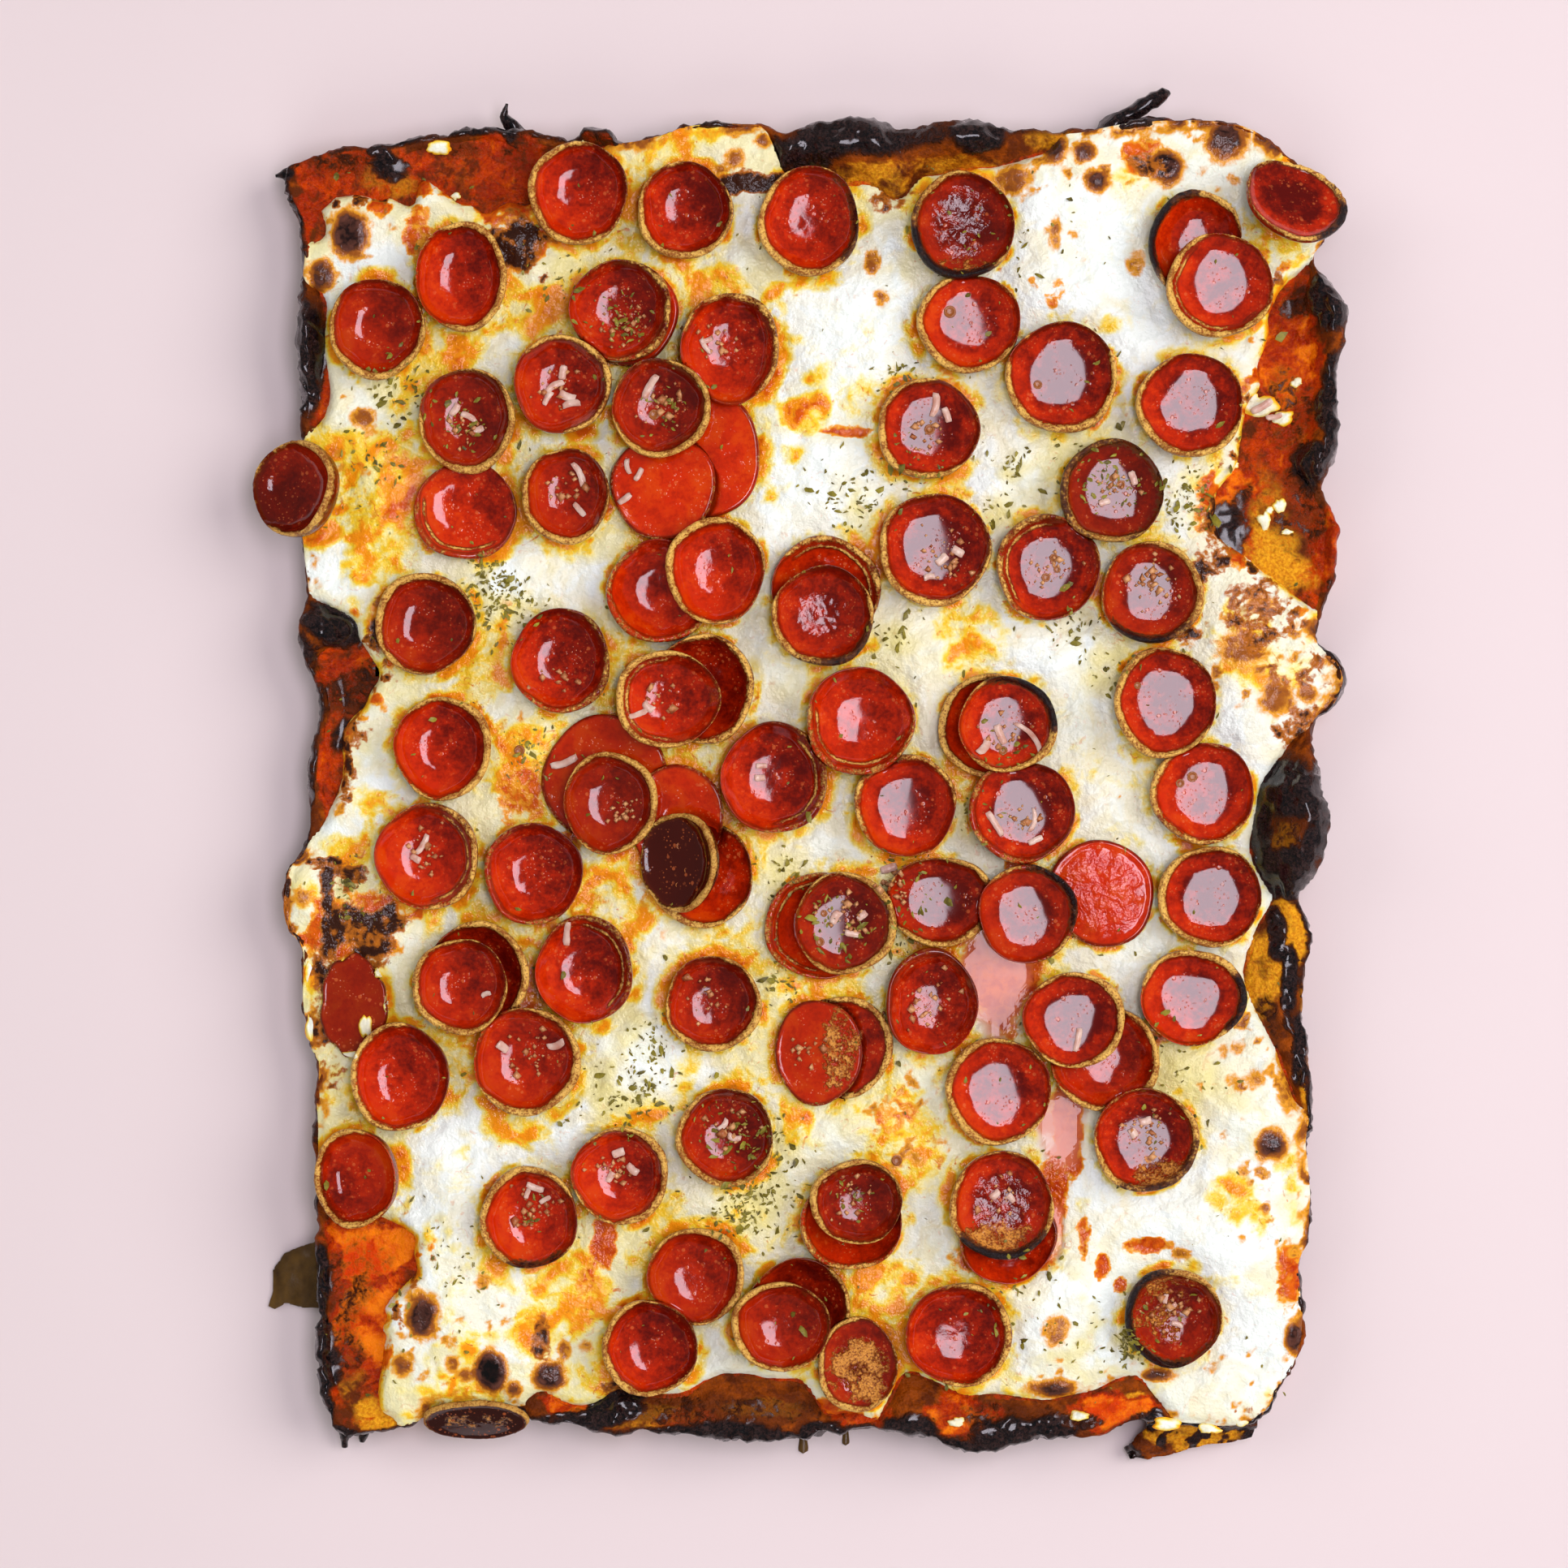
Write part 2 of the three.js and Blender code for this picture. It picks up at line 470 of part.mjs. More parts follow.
function pepperoni() {
  const bowls = new Map();
  SLICES.forEach((slice, number) => {
    const name = `pepperoni_${slice[0]}`;
    bowls.set(name, [...(bowls.get(name) ?? []), sliceBowl(slice, number)]);
  });
  return bowls;
}

function part(name, geometry, look) {
  const mesh = new THREE.Mesh(geometry, new THREE.MeshStandardMaterial(look));
  mesh.name = name;
  return mesh;
}

const pizza = new THREE.Group();
pizza.add(part("crust", crust(), COLOURS.crust));
pizza.add(part("sauce", sauce(), COLOURS.sauce));
pizza.add(part("cheese", cheese(), COLOURS.cheese));
for (const [name, bowls] of pepperoni()) {
  pizza.add(part(name, join(bowls), COLOURS.pepperoni));
}

export default pizza;
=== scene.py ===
"""Pepperoni pizza from a rectangular pan, dressed over its solid model.

The crust, the sauce and the cheese are rebuilt as fine relief on the same outline as the solids,
each pepperoni slice becomes a curled cup with a browned rim, and herbs, cheese shreds, crumbs
and bubbles are laid over the top. Lengths are millimetres until a mesh is made.
"""
import math

import bpy
import numpy as np
from mathutils import Matrix, Vector


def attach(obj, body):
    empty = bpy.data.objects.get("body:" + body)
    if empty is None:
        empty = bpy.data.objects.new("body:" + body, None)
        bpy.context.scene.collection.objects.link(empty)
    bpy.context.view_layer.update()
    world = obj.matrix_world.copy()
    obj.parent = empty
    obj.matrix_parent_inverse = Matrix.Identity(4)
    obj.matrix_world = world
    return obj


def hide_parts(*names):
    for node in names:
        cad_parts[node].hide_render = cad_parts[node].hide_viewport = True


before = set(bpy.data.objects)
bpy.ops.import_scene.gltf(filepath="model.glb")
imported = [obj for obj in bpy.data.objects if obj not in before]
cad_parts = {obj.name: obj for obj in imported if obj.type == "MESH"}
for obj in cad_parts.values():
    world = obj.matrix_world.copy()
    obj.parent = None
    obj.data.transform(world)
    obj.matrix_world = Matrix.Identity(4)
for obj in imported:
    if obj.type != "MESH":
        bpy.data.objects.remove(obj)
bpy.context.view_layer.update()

bl_info = {
    "name": "Pepperoni Pan Pizza",
    "version": (1, 0, 0),
    "blender": (4, 5, 0),
    "location": "View3D > Sidebar > Pizza",
    "description": "Dresses the solid model of a rectangular pepperoni pizza",
    "category": "Add Mesh",
}

# Places are read on a square grid laid over the pizza: columns run right, rows run down.
GRID = 0.24
MIDDLE_COLUMN = 994
MIDDLE_ROW = 954
PHOTO_SIDE = 1932
MILLIMETRE = 0.001

# Heights over the floor, and how the crust and the slices are shaped.
SAUCE_HEIGHT = 15.3
CHEESE_SEAT = 18.0
SLICE_SEAT = 18.5
SLICE_FIT = 0.985
STACK_STEP = 2.3
DOUGH_TOP = 14.0
LIP_HEIGHT = 17.0
BELLY_HEIGHT = 6.5
FOOT_INSET = 1.6
RIM_WAVE = 0.45
CUP_BASE = 0.66
CUP = 8.2
SHALLOW = 5.0
FLAT = 2.6

# Left, right, top and bottom of the core that the crust's edge looks in towards.
CORE = (560, 1440, 345, 1570)
NARROWEST_RIM = 1.6
NARROWEST_SAUCE = 0.4

# Spacing of the steps round the edge, and size of the cells of the wide sheets.
CRUST_STEP = 1.15
CHEESE_STEP, CHEESE_CELL = 1.5, 1.15
SAUCE_STEP, SAUCE_CELL = 1.6, 1.5
COARSE_STEP, UNDERSIDE_CELL = 2.2, 3.2

# Height of the food's middle in metres, and how far the floor reaches in millimetres.
FOOD_MIDDLE_HEIGHT = 0.02
FLOOR_REACH = 2500

# Round the edge, clockwise from the top left corner: column, row, width of the bare rim,
# height of its crest in millimetres, width of the bare sauce inside it.
EDGE = [
    (350, 206, 22, 16.5, 50), (378, 194, 20, 17.5, 54), (415, 181, 18, 18, 68),
    (457, 179, 28, 18.5, 60), (500, 171, 16, 18, 44), (545, 164, 12, 18, 66),
    (585, 157, 12, 18.5, 90), (620, 157, 14, 18.5, 78), (655, 161, 12, 17.5, 70),
    (688, 168, 12, 17, 30), (712, 169, 12, 17.5, 8), (722, 158, 20, 21, 4), (750, 160, 18, 21, 4),
    (760, 173, 10, 18, 3), (800, 168, 8, 18, 3), (850, 152, 10, 19, 3), (890, 150, 10, 19, 3),
    (940, 152, 9, 18.5, 3), (968, 163, 50, 20, 3), (1000, 155, 50, 22, 3), (1035, 146, 76, 24, 3),
    (1075, 146, 80, 25, 3), (1108, 156, 86, 22, 3), (1135, 152, 62, 23, 3), (1160, 148, 62, 25, 3),
    (1200, 149, 55, 25, 3), (1232, 158, 42, 21, 3), (1270, 160, 28, 19.5, 3),
    (1310, 160, 16, 19, 3), (1352, 156, 12, 19, 3), (1395, 149, 9, 19, 3), (1450, 146, 8, 18.5, 3),
    (1505, 148, 8, 19, 3), (1545, 158, 8, 18.5, 3), (1575, 180, 8, 18, 3), (1605, 207, 8, 17.3, 3),
    (1628, 235, 8, 17, 3), (1638, 263, 8, 17, 3), (1634, 292, 8, 17, 3), (1622, 313, 10, 18, 3),
    (1627, 335, 12, 21, 14), (1650, 358, 40, 24, 35), (1661, 386, 50, 26, 46),
    (1656, 418, 42, 24, 52), (1648, 445, 30, 21.5, 70), (1650, 480, 30, 22, 78),
    (1648, 512, 34, 23, 75), (1650, 545, 45, 25, 72), (1640, 577, 44, 24, 78),
    (1631, 603, 12, 18, 116), (1648, 640, 14, 19, 132), (1649, 665, 14, 19.5, 128),
    (1645, 708, 14, 18.5, 68), (1634, 745, 10, 18, 16), (1625, 770, 8, 17.5, 4),
    (1626, 793, 8, 17.5, 3), (1650, 815, 10, 20, 3), (1657, 842, 10, 20.5, 3),
    (1644, 870, 12, 19.5, 3), (1624, 885, 12, 18.5, 3), (1618, 906, 18, 19, 3),
    (1620, 932, 40, 23, 3), (1629, 962, 68, 28, 3), (1636, 1000, 84, 30, 3),
    (1634, 1040, 90, 30, 3), (1622, 1076, 66, 27, 3), (1601, 1105, 28, 20, 3),
    (1612, 1132, 54, 19, 3), (1616, 1163, 70, 19.5, 3), (1607, 1198, 70, 20, 3),
    (1607, 1238, 60, 20, 3), (1612, 1278, 42, 20, 3), (1615, 1325, 28, 19.5, 3),
    (1618, 1380, 14, 19, 3), (1612, 1410, 10, 18.5, 3), (1617, 1480, 8, 18, 3),
    (1613, 1530, 8, 18.5, 3), (1602, 1562, 8, 18, 3), (1609, 1635, 8, 18, 3),
    (1598, 1680, 8, 17.5, 3), (1578, 1712, 8, 17, 3), (1560, 1745, 8, 17, 3),
    (1530, 1760, 10, 17, 3), (1480, 1760, 12, 17, 3), (1435, 1756, 20, 17.5, 3),
    (1405, 1749, 48, 18, 3), (1375, 1762, 58, 18.5, 3), (1335, 1773, 50, 19.5, 3),
    (1285, 1771, 42, 18.5, 3), (1240, 1785, 60, 20, 3), (1212, 1790, 68, 20.5, 3),
    (1185, 1787, 64, 20, 3), (1150, 1775, 72, 20, 3), (1115, 1767, 72, 20, 3),
    (1090, 1762, 20, 18, 3), (1056, 1764, 20, 17, 3), (1018, 1768, 22, 18, 3),
    (988, 1775, 70, 20, 3), (945, 1777, 76, 20.5, 3), (900, 1775, 80, 20.5, 3),
    (868, 1773, 68, 20, 3), (842, 1770, 48, 19, 3), (800, 1766, 44, 18.5, 3),
    (762, 1768, 50, 21, 3), (735, 1765, 32, 19.5, 3), (700, 1757, 24, 18.5, 3),
    (672, 1755, 36, 19, 3), (652, 1752, 26, 18, 3), (640, 1739, 8, 17, 3), (586, 1734, 8, 17, 3),
    (532, 1738, 8, 17, 3), (520, 1752, 12, 17.5, 3), (492, 1763, 16, 18, 3),
    (462, 1768, 22, 18.5, 8), (430, 1770, 26, 18.5, 44), (405, 1754, 28, 18.5, 72),
    (396, 1720, 22, 19, 84), (391, 1685, 18, 19, 88), (389, 1650, 16, 18.5, 84),
    (392, 1610, 12, 18.5, 90), (390, 1570, 14, 18.5, 104), (386, 1537, 20, 19, 105),
    (391, 1512, 18, 18.5, 92), (389, 1488, 12, 17.5, 40), (388, 1450, 9, 17, 3),
    (387, 1400, 11, 17.5, 3), (388, 1350, 13, 18.5, 3), (390, 1312, 12, 18.5, 3),
    (381, 1290, 8, 18, 3), (371, 1240, 8, 18, 3), (371, 1172, 8, 18.5, 3), (353, 1144, 8, 19.5, 3),
    (347, 1107, 8, 20, 3), (354, 1072, 8, 19.5, 3), (375, 1042, 14, 18.5, 3),
    (377, 1000, 22, 18.5, 4), (381, 950, 16, 18, 25), (387, 905, 12, 18, 24),
    (394, 869, 10, 18, 48), (385, 838, 14, 18.5, 68), (373, 809, 16, 19.5, 66),
    (366, 786, 58, 21, 18), (368, 764, 58, 21, 14), (377, 744, 18, 18.5, 8), (375, 705, 8, 18, 3),
    (370, 668, 8, 17.5, 3), (363, 630, 8, 16.5, 3), (363, 580, 8, 16.5, 3), (370, 545, 12, 18, 3),
    (368, 512, 24, 19, 5), (371, 485, 22, 19, 12), (367, 450, 30, 21.5, 3), (363, 408, 36, 23, 3),
    (368, 370, 28, 22, 3), (371, 338, 12, 19, 4), (370, 300, 14, 18.5, 10), (365, 266, 22, 18, 12),
    (352, 235, 24, 17.5, 26),
]

# Wisps and drips of burnt cheese: column, row, height and radius along each.
WISPS = {
    "corner": [(380, 214, 10, 3.6), (352, 210, 9.5, 2.2), (335, 211, 9, 0.6)],
    "horn": [(638, 170, 9.5, 3.4), (630, 153, 11, 2.2), (619, 138, 12, 1.3), (623, 124, 13, 0.4)],
    "stick": [(1364, 166, 8.5, 4.4), (1376, 148, 10, 3.6), (1394, 136, 11, 2.2), (1418, 122, 12, 2.4),
              (1438, 112, 12, 2.0), (1444, 109, 12, 0.6)],
    "left_drip": [(424, 1752, 6, 2.6), (419, 1776, 4, 1.6), (418, 1792, 3, 0.8)],
    "right_drip": [(446, 1752, 6, 2.6), (443, 1774, 4.5, 1.8), (440, 1785, 4, 0.8)],
}

# Outlines of the torn flap at the lower right and of the thin flake of dried oil at the left:
# column, row, height of the top.
FLAP = [
    (1390, 1795, 5), (1402, 1782, 7), (1416, 1767, 9), (1419, 1747, 12), (1438, 1737, 14),
    (1480, 1740, 14), (1530, 1745, 14), (1556, 1748, 12), (1547, 1776, 9), (1524, 1785, 7),
    (1490, 1788, 7), (1458, 1797, 6), (1420, 1806, 5), (1396, 1806, 4),
]
FLAKE = [
    (323, 1618, 1.6), (329, 1600, 2.2), (329, 1572, 2.2), (343, 1552, 2.4), (366, 1542, 3),
    (402, 1530, 5), (404, 1618, 5), (366, 1619, 3), (345, 1613, 2.2), (330, 1621, 1.6),
]

# One row per slice: node, column, row, radius across, radius down, and what sets it apart.
# up: steps above the cheese. depth: how deep it is curled. turn, tilt: where and how far it leans.
# pool: share of its depth that is full of oil. burn: direction, spread and strength of the
# charred part of its rim. cook: how brown its inside is. thick: where its rim is widest.
# gold: how golden the rim is. double: a second ring inside the rim. ragged: an uneven outline.
# crackled: how wrinkled its inside is.
SLICES = [
    ("a", 713, 240, 62, 65, {"thick": 190}),
    ("h", 844, 262, 60, 61, {"thick": 240}),
    ("b", 570, 343, 57, 69, {"thick": 5}),
    ("c", 466, 407, 60, 63, {"cook": 0.4, "thick": 265}),
    ("de", 772, 388, 66, 64, {"depth": FLAT, "turn": 180, "tilt": 5}),
    ("de", 766, 385, 64, 64, {"gold": 0.42, "up": 0.8, "cook": 0.15, "thick": 350}),
    ("de", 694, 476, 61, 62, {"gold": 0.62, "up": 1.1, "cook": 0.2, "thick": 25}),
    ("fw", 574, 630, 65, 62, {"gold": 0.3, "depth": SHALLOW, "double": 1}),
    ("fw", 577, 520, 60, 66, {"up": 0.6, "cook": 0.5, "thick": 305}),
    ("g", 380, 606, 60, 61, {"turn": 169, "tilt": 32, "up": -1.6, "cook": 0.6, "thick": 0}),
    ("i", 997, 275, 63, 69, {"burn": (5, 50, 0.7), "thick": 230}),
    ("jk", 1193, 400, 65, 62, {"pool": 0.2, "thick": 215}),
    ("jk", 1185, 281, 65, 67, {"up": 0.7, "crackled": 0.6, "pool": 0.15, "burn": (235, 85, 1),
                               "cook": 0.4}),
    ("t", 1307, 467, 70, 70, {"pool": 0.28, "gold": 0.8, "thick": 265}),
    ("lmop", 873, 560, 66, 80, {"depth": FLAT, "turn": 180, "tilt": 5}),
    ("lmop", 818, 600, 66, 66, {"depth": FLAT, "up": 0.5, "turn": 180, "tilt": 5}),
    ("lmop", 900, 431, 62, 70, {"gold": 0.5, "up": 0.6, "thick": 45}),
    ("lmop", 815, 505, 62, 62, {"up": 1.3, "cook": 0.35, "thick": 320}),
    ("ab", 812, 730, 65, 65, {"gold": 0.35, "thick": 230}),
    ("ab", 882, 704, 62, 67, {"up": 1.0, "thick": 150}),
    ("n", 1143, 530, 64, 63, {"pool": 0.25, "gold": 0.8, "thick": 205}),
    ("q", 1590, 258, 56, 66, {"turn": 65, "tilt": 30, "up": 0.3, "depth": SHALLOW, "pool": 0.2,
                              "burn": (-25, 50, 0.8)}),
    ("rs", 1470, 300, 57, 66, {"turn": -20, "burn": (160, 75, 1)}),
    ("rs", 1500, 355, 67, 65, {"up": 1.0, "pool": 0.3, "thick": 215, "double": 1}),
    ("u", 1465, 501, 67, 65, {"pool": 0.3, "gold": 0.8, "thick": 235}),
    ("vaf", 1290, 700, 65, 67, {"gold": 0.48, "pool": 0.2, "thick": 150, "double": 1}),
    ("vaf", 1368, 607, 65, 65, {"up": 0.4, "pool": 0.25, "cook": 0.75, "burn": (90, 200, 0.4),
                                "thick": 190}),
    ("x", 698, 612, 55, 60, {"cook": 0.3, "thick": 225}),
    ("y", 525, 769, 63, 64, {"cook": 0.45, "thick": 140}),
    ("z", 692, 815, 62, 66, {"gold": 0.38, "thick": 320}),
    ("aa", 547, 922, 61, 65, {"thick": 0}),
    ("ad", 1017, 726, 69, 66, {"depth": SHALLOW, "gold": 0.5, "thick": 45, "double": 1}),
    ("ad", 1014, 760, 64, 63, {"up": 0.9, "crackled": 0.5, "cook": 0.2, "burn": (-60, 60, 0.6),
                               "thick": 265}),
    ("ae", 1151, 678, 70, 71, {"pool": 0.2, "gold": 0.75, "thick": 230}),
    ("ag", 1418, 731, 64, 64, {"pool": 0.15, "burn": (-95, 60, 0.8), "cook": 0.4}),
    ("ahai", 1480, 977, 65, 64, {"pool": 0.3, "gold": 0.6, "thick": 200}),
    ("ahai", 1433, 866, 64, 69, {"up": 0.9, "pool": 0.3, "thick": 200}),
    ("ajamn", 954, 959, 67, 70, {"gold": 0.32, "thick": 340, "double": 1}),
    ("ajamn", 1115, 992, 64, 64, {"gold": 0.55, "pool": 0.2, "thick": 120}),
    ("ajamn", 1059, 889, 68, 68, {"gold": 0.42, "up": 0.5, "thick": 250, "double": 1}),
    ("ao", 1217, 895, 62, 66, {"depth": SHALLOW, "thick": 180}),
    ("ao", 1258, 1000, 67, 64, {"gold": 0.38, "pool": 0.3, "thick": 215}),
    ("ao", 1240, 893, 62, 60, {"up": 1.1, "pool": 0.2, "burn": (50, 65, 1)}),
    ("aq", 528, 1055, 65, 67, {"gold": 0.5, "thick": 0, "double": 1}),
    ("ar", 658, 1076, 62, 64, {"gold": 0.32, "thick": 200}),
    ("atw", 590, 1200, 64, 66, {"thick": 0}),
    ("atw", 569, 1214, 60, 60, {"up": 1.1, "cook": 0.2, "thick": 220}),
    ("atw", 650, 1306, 67, 68, {"up": 0.5, "cook": 0.2, "thick": 325}),
    ("au", 721, 1194, 61, 68, {"gold": 0.28, "thick": 30, "double": 1}),
    ("avy", 437, 1240, 42, 65, {"depth": FLAT, "cook": 0.8, "ragged": 0.06, "turn": 180,
                                "tilt": 6}),
    ("avy", 494, 1326, 62, 68, {"up": 0.5, "gold": 0.6, "thick": 190}),
    ("ax", 447, 1449, 54, 62, {"turn": 180, "tilt": 14, "up": 0.1, "cook": 0.2, "thick": 200}),
    ("pile", 747, 960, 80, 80, {"depth": FLAT, "turn": 180, "tilt": 5, "cook": 0.35}),
    ("pile", 834, 1010, 60, 70, {"depth": FLAT, "up": 0.3, "turn": 180, "tilt": 5, "cook": 0.2}),
    ("pile", 864, 1078, 66, 66, {"depth": SHALLOW}),
    ("pile", 753, 989, 59, 64, {"up": 0.9, "cook": 0.6, "thick": 15}),
    ("pile", 847, 1061, 56, 62, {"turn": 180, "tilt": 32, "up": 0.7, "depth": SHALLOW, "cook": 1.25,
                                 "gold": 1.3, "thick": 0}),
    ("ak", 866, 849, 65, 69, {"gold": 0.6, "thick": 0}),
    ("ak", 823, 862, 66, 61, {"up": 1.2, "thick": 180, "double": 1}),
    ("row", 1008, 1141, 67, 67, {"gold": 0.34, "depth": SHALLOW, "double": 1}),
    ("row", 1158, 1110, 69, 56, {"pool": 0.2, "cook": 0.3, "thick": 325}),
    ("row", 1041, 1137, 64, 64, {"up": 0.6, "pool": 0.2, "cook": 0.5, "thick": 350}),
    ("row", 1358, 1100, 64, 69, {"depth": FLAT, "crackled": 0.8, "turn": 215, "tilt": 4.5}),
    ("row", 1265, 1125, 62, 62, {"up": 0.6, "burn": (35, 60, 1), "cook": 0.3, "gold": 0.45,
                                 "thick": 35, "pool": 0.3}),
    ("bd", 1147, 1234, 58, 67, {"gold": 0.2, "cook": 0.1}),
    ("bg", 1489, 1104, 65, 63, {"pool": 0.3, "thick": 185}),
    ("bh", 1468, 1228, 67, 60, {"pool": 0.3, "burn": (0, 45, 0.9)}),
    ("bijk", 1361, 1304, 68, 66, {"gold": 0.8, "cook": 0.2, "thick": 320}),
    ("bijk", 1322, 1255, 64, 60, {"up": 1.0, "pool": 0.3, "thick": 0}),
    ("bijk", 1410, 1403, 66, 65, {"up": 0.6, "pool": 0.15, "burn": (-60, 70, 0.45), "thick": 295}),
    ("bl", 1009, 1296, 55, 66, {"depth": FLAT, "turn": 180, "tilt": 7, "up": 0.5, "cook": 0.35}),
    ("bl", 1037, 1289, 64, 64, {"gold": 0.8, "up": 0.2, "depth": SHALLOW, "cook": 0.3}),
    ("bm", 879, 1236, 60, 60, {"cook": 0.3, "thick": 300}),
    ("bn", 894, 1400, 61, 62, {"cook": 0.3, "thick": 225}),
    ("bo", 1229, 1343, 66, 67, {"pool": 0.3, "thick": 190}),
    ("bp", 1048, 1505, 64, 60, {"gold": 0.45, "thick": 230}),
    ("bp", 1055, 1478, 58, 53, {"up": 1.1, "cook": 0.5, "thick": 150}),
    ("bq", 1240, 1520, 62, 62, {"gold": 0.3, "depth": SHALLOW}),
    ("bq", 1233, 1483, 65, 68, {"up": 0.9, "crackled": 0.6, "pool": 0.13, "burn": (-90, 60, 1),
                                "cook": 0.1}),
    ("brt", 858, 1570, 61, 61, {"cook": 0.3, "thick": 25}),
    ("brt", 801, 1658, 60, 60, {"up": 0.8, "thick": 205}),
    ("bsu", 985, 1612, 65, 65, {"gold": 0.6, "cook": 0.3}),
    ("bsu", 962, 1631, 62, 56, {"up": 1.1, "cook": 0.4, "thick": 180}),
    ("bsu", 1056, 1680, 50, 60, {"depth": SHALLOW, "up": 0.6, "cook": 0.5}),
    ("bv", 1181, 1642, 67, 65, {"gold": 0.62, "thick": 0}),
    ("bw", 1444, 1621, 61, 62, {"burn": (200, 120, 1), "cook": 0.4}),
    ("bx", 653, 1499, 61, 64, {"burn": (-90, 50, 0.6), "thick": 150}),
    ("bz", 765, 1447, 61, 61, {"thick": 350}),
    ("by", 586, 1746, 32, 66, {"turn": -90, "tilt": 40, "up": -1.6, "depth": FLAT, "cook": 1.4,
                               "gold": 3, "thick": 90}),
]

# Mounds of thicker cheese: column, row, radius and height in millimetres.
MOUNDS = [
    (372, 1110, 9, 1.6), (450, 590, 14, 1.2), (560, 1560, 22, 1.8), (560, 1660, 18, 1.6),
    (1320, 330, 22, 1.6), (1300, 230, 16, 1.4), (900, 190, 14, 1.2), (1060, 390, 18, 1.5),
    (1540, 850, 16, 1.4), (1560, 1350, 18, 1.6), (1520, 1520, 20, 1.8), (1310, 1640, 18, 1.5),
    (760, 1300, 18, 1.4),
]

# Spots are rows of column, row, radius across, radius down and strength. First those of the
# dough: where it is charred, stained by sauce and golden.
CHAR = [
    (375, 445, 26, 85, 1), (370, 345, 12, 28, 0.5), (420, 768, 62, 36, 1), (372, 800, 18, 30, 0.6),
    (425, 905, 24, 28, 0.8), (384, 900, 8, 120, 0.6), (1040, 168, 78, 26, 0.85),
    (1125, 168, 60, 16, 0.65), (1200, 165, 48, 22, 0.9), (985, 190, 40, 26, 0.7),
    (936, 222, 38, 16, 0.9), (645, 290, 42, 34, 0.75), (480, 205, 22, 20, 0.8),
    (465, 186, 12, 8, 0.7), (1640, 375, 28, 50, 1), (1600, 372, 30, 26, 0.55),
    (1640, 500, 16, 105, 0.9), (1620, 570, 28, 28, 0.9), (1510, 650, 26, 44, 0.8),
    (1578, 955, 36, 26, 0.9), (1624, 1000, 18, 80, 1), (1575, 1076, 36, 32, 1),
    (1553, 1015, 14, 70, 0.9), (1592, 1018, 46, 96, 0.34), (1590, 972, 44, 44, 0.9),
    (1612, 1040, 12, 50, 0.85), (1572, 1150, 12, 34, 0.75), (1588, 1220, 11, 48, 0.9),
    (1603, 1300, 11, 55, 0.9), (760, 1732, 34, 28, 1), (700, 1754, 60, 14, 0.8),
    (830, 1772, 70, 13, 0.9), (905, 1772, 60, 24, 0.9), (960, 1778, 60, 14, 1),
    (1012, 1772, 30, 24, 1), (1118, 1765, 34, 30, 1), (1160, 1788, 60, 14, 1),
    (1255, 1770, 70, 28, 1), (1330, 1752, 30, 12, 0.6), (396, 1700, 18, 80, 1.1),
    (394, 1600, 12, 90, 1), (415, 1768, 34, 12, 1), (385, 1480, 9, 60, 0.7),
    (1425, 1752, 12, 18, 1), (1552, 1750, 10, 8, 0.8), (1395, 1800, 14, 10, 0.6),
    (376, 980, 9, 90, 0.7), (368, 1140, 8, 40, 0.6), (1375, 145, 22, 20, 1), (628, 150, 14, 30, 1),
    (345, 212, 18, 10, 0.9), (740, 172, 26, 12, 0.35), (440, 850, 70, 44, 0.48),
    (470, 770, 30, 34, 0.9), (430, 200, 60, 20, 0.25), (560, 180, 40, 14, 0.3),
    (640, 190, 30, 30, 0.35), (1590, 500, 30, 60, 0.25), (1600, 640, 40, 60, 0.3),
    (1530, 630, 20, 40, 0.4), (1560, 1270, 20, 60, 0.3), (880, 1740, 200, 20, 0.3),
    (1240, 1745, 90, 20, 0.3), (440, 1560, 40, 50, 0.25), (420, 1640, 30, 60, 0.3),
]
RED = [
    (420, 225, 80, 50, 0.75), (370, 280, 22, 70, 0.9), (560, 215, 80, 40, 0.8),
    (620, 205, 60, 50, 0.9), (738, 165, 24, 16, 0.9), (880, 168, 30, 18, 0.9),
    (395, 500, 22, 24, 1), (440, 835, 62, 42, 0.9), (402, 945, 12, 50, 0.8),
    (1395, 165, 32, 24, 1.3), (1588, 430, 42, 90, 1.15), (1525, 640, 34, 70, 1.5),
    (1585, 540, 40, 50, 0.9), (1635, 670, 26, 60, 1), (1580, 1560, 34, 46, 1.2),
    (1580, 1390, 24, 34, 1.2), (455, 1540, 62, 60, 1.5), (448, 1640, 60, 80, 1.25),
    (430, 1720, 40, 40, 0.5), (1200, 1750, 60, 30, 1.1), (1365, 1738, 60, 26, 1.5),
    (1060, 1750, 40, 20, 0.8), (700, 1730, 40, 20, 1.2), (850, 1750, 50, 18, 0.5),
    (420, 1240, 42, 60, 0.9),
]
GOLD = [
    (470, 222, 50, 26, 0.5), (565, 205, 40, 34, 0.35), (460, 1500, 50, 26, 0.5),
    (470, 1742, 40, 26, 0.9), (430, 1690, 30, 40, 0.5), (1560, 690, 70, 60, 0.9),
    (1550, 620, 34, 50, 0.5), (1592, 1150, 30, 60, 1), (1612, 1280, 12, 140, 0.8),
    (1555, 1210, 24, 60, 0.7), (1579, 1042, 24, 30, 0.6), (1340, 1742, 22, 20, 0.6),
    (1400, 1730, 20, 18, 0.8), (1075, 225, 60, 26, 0.5), (1480, 1775, 70, 22, 0.8),
    (1170, 205, 60, 16, 0.4), (1290, 170, 40, 14, 0.6), (800, 1745, 60, 18, 0.5),
    (950, 1735, 60, 14, 0.4),
]
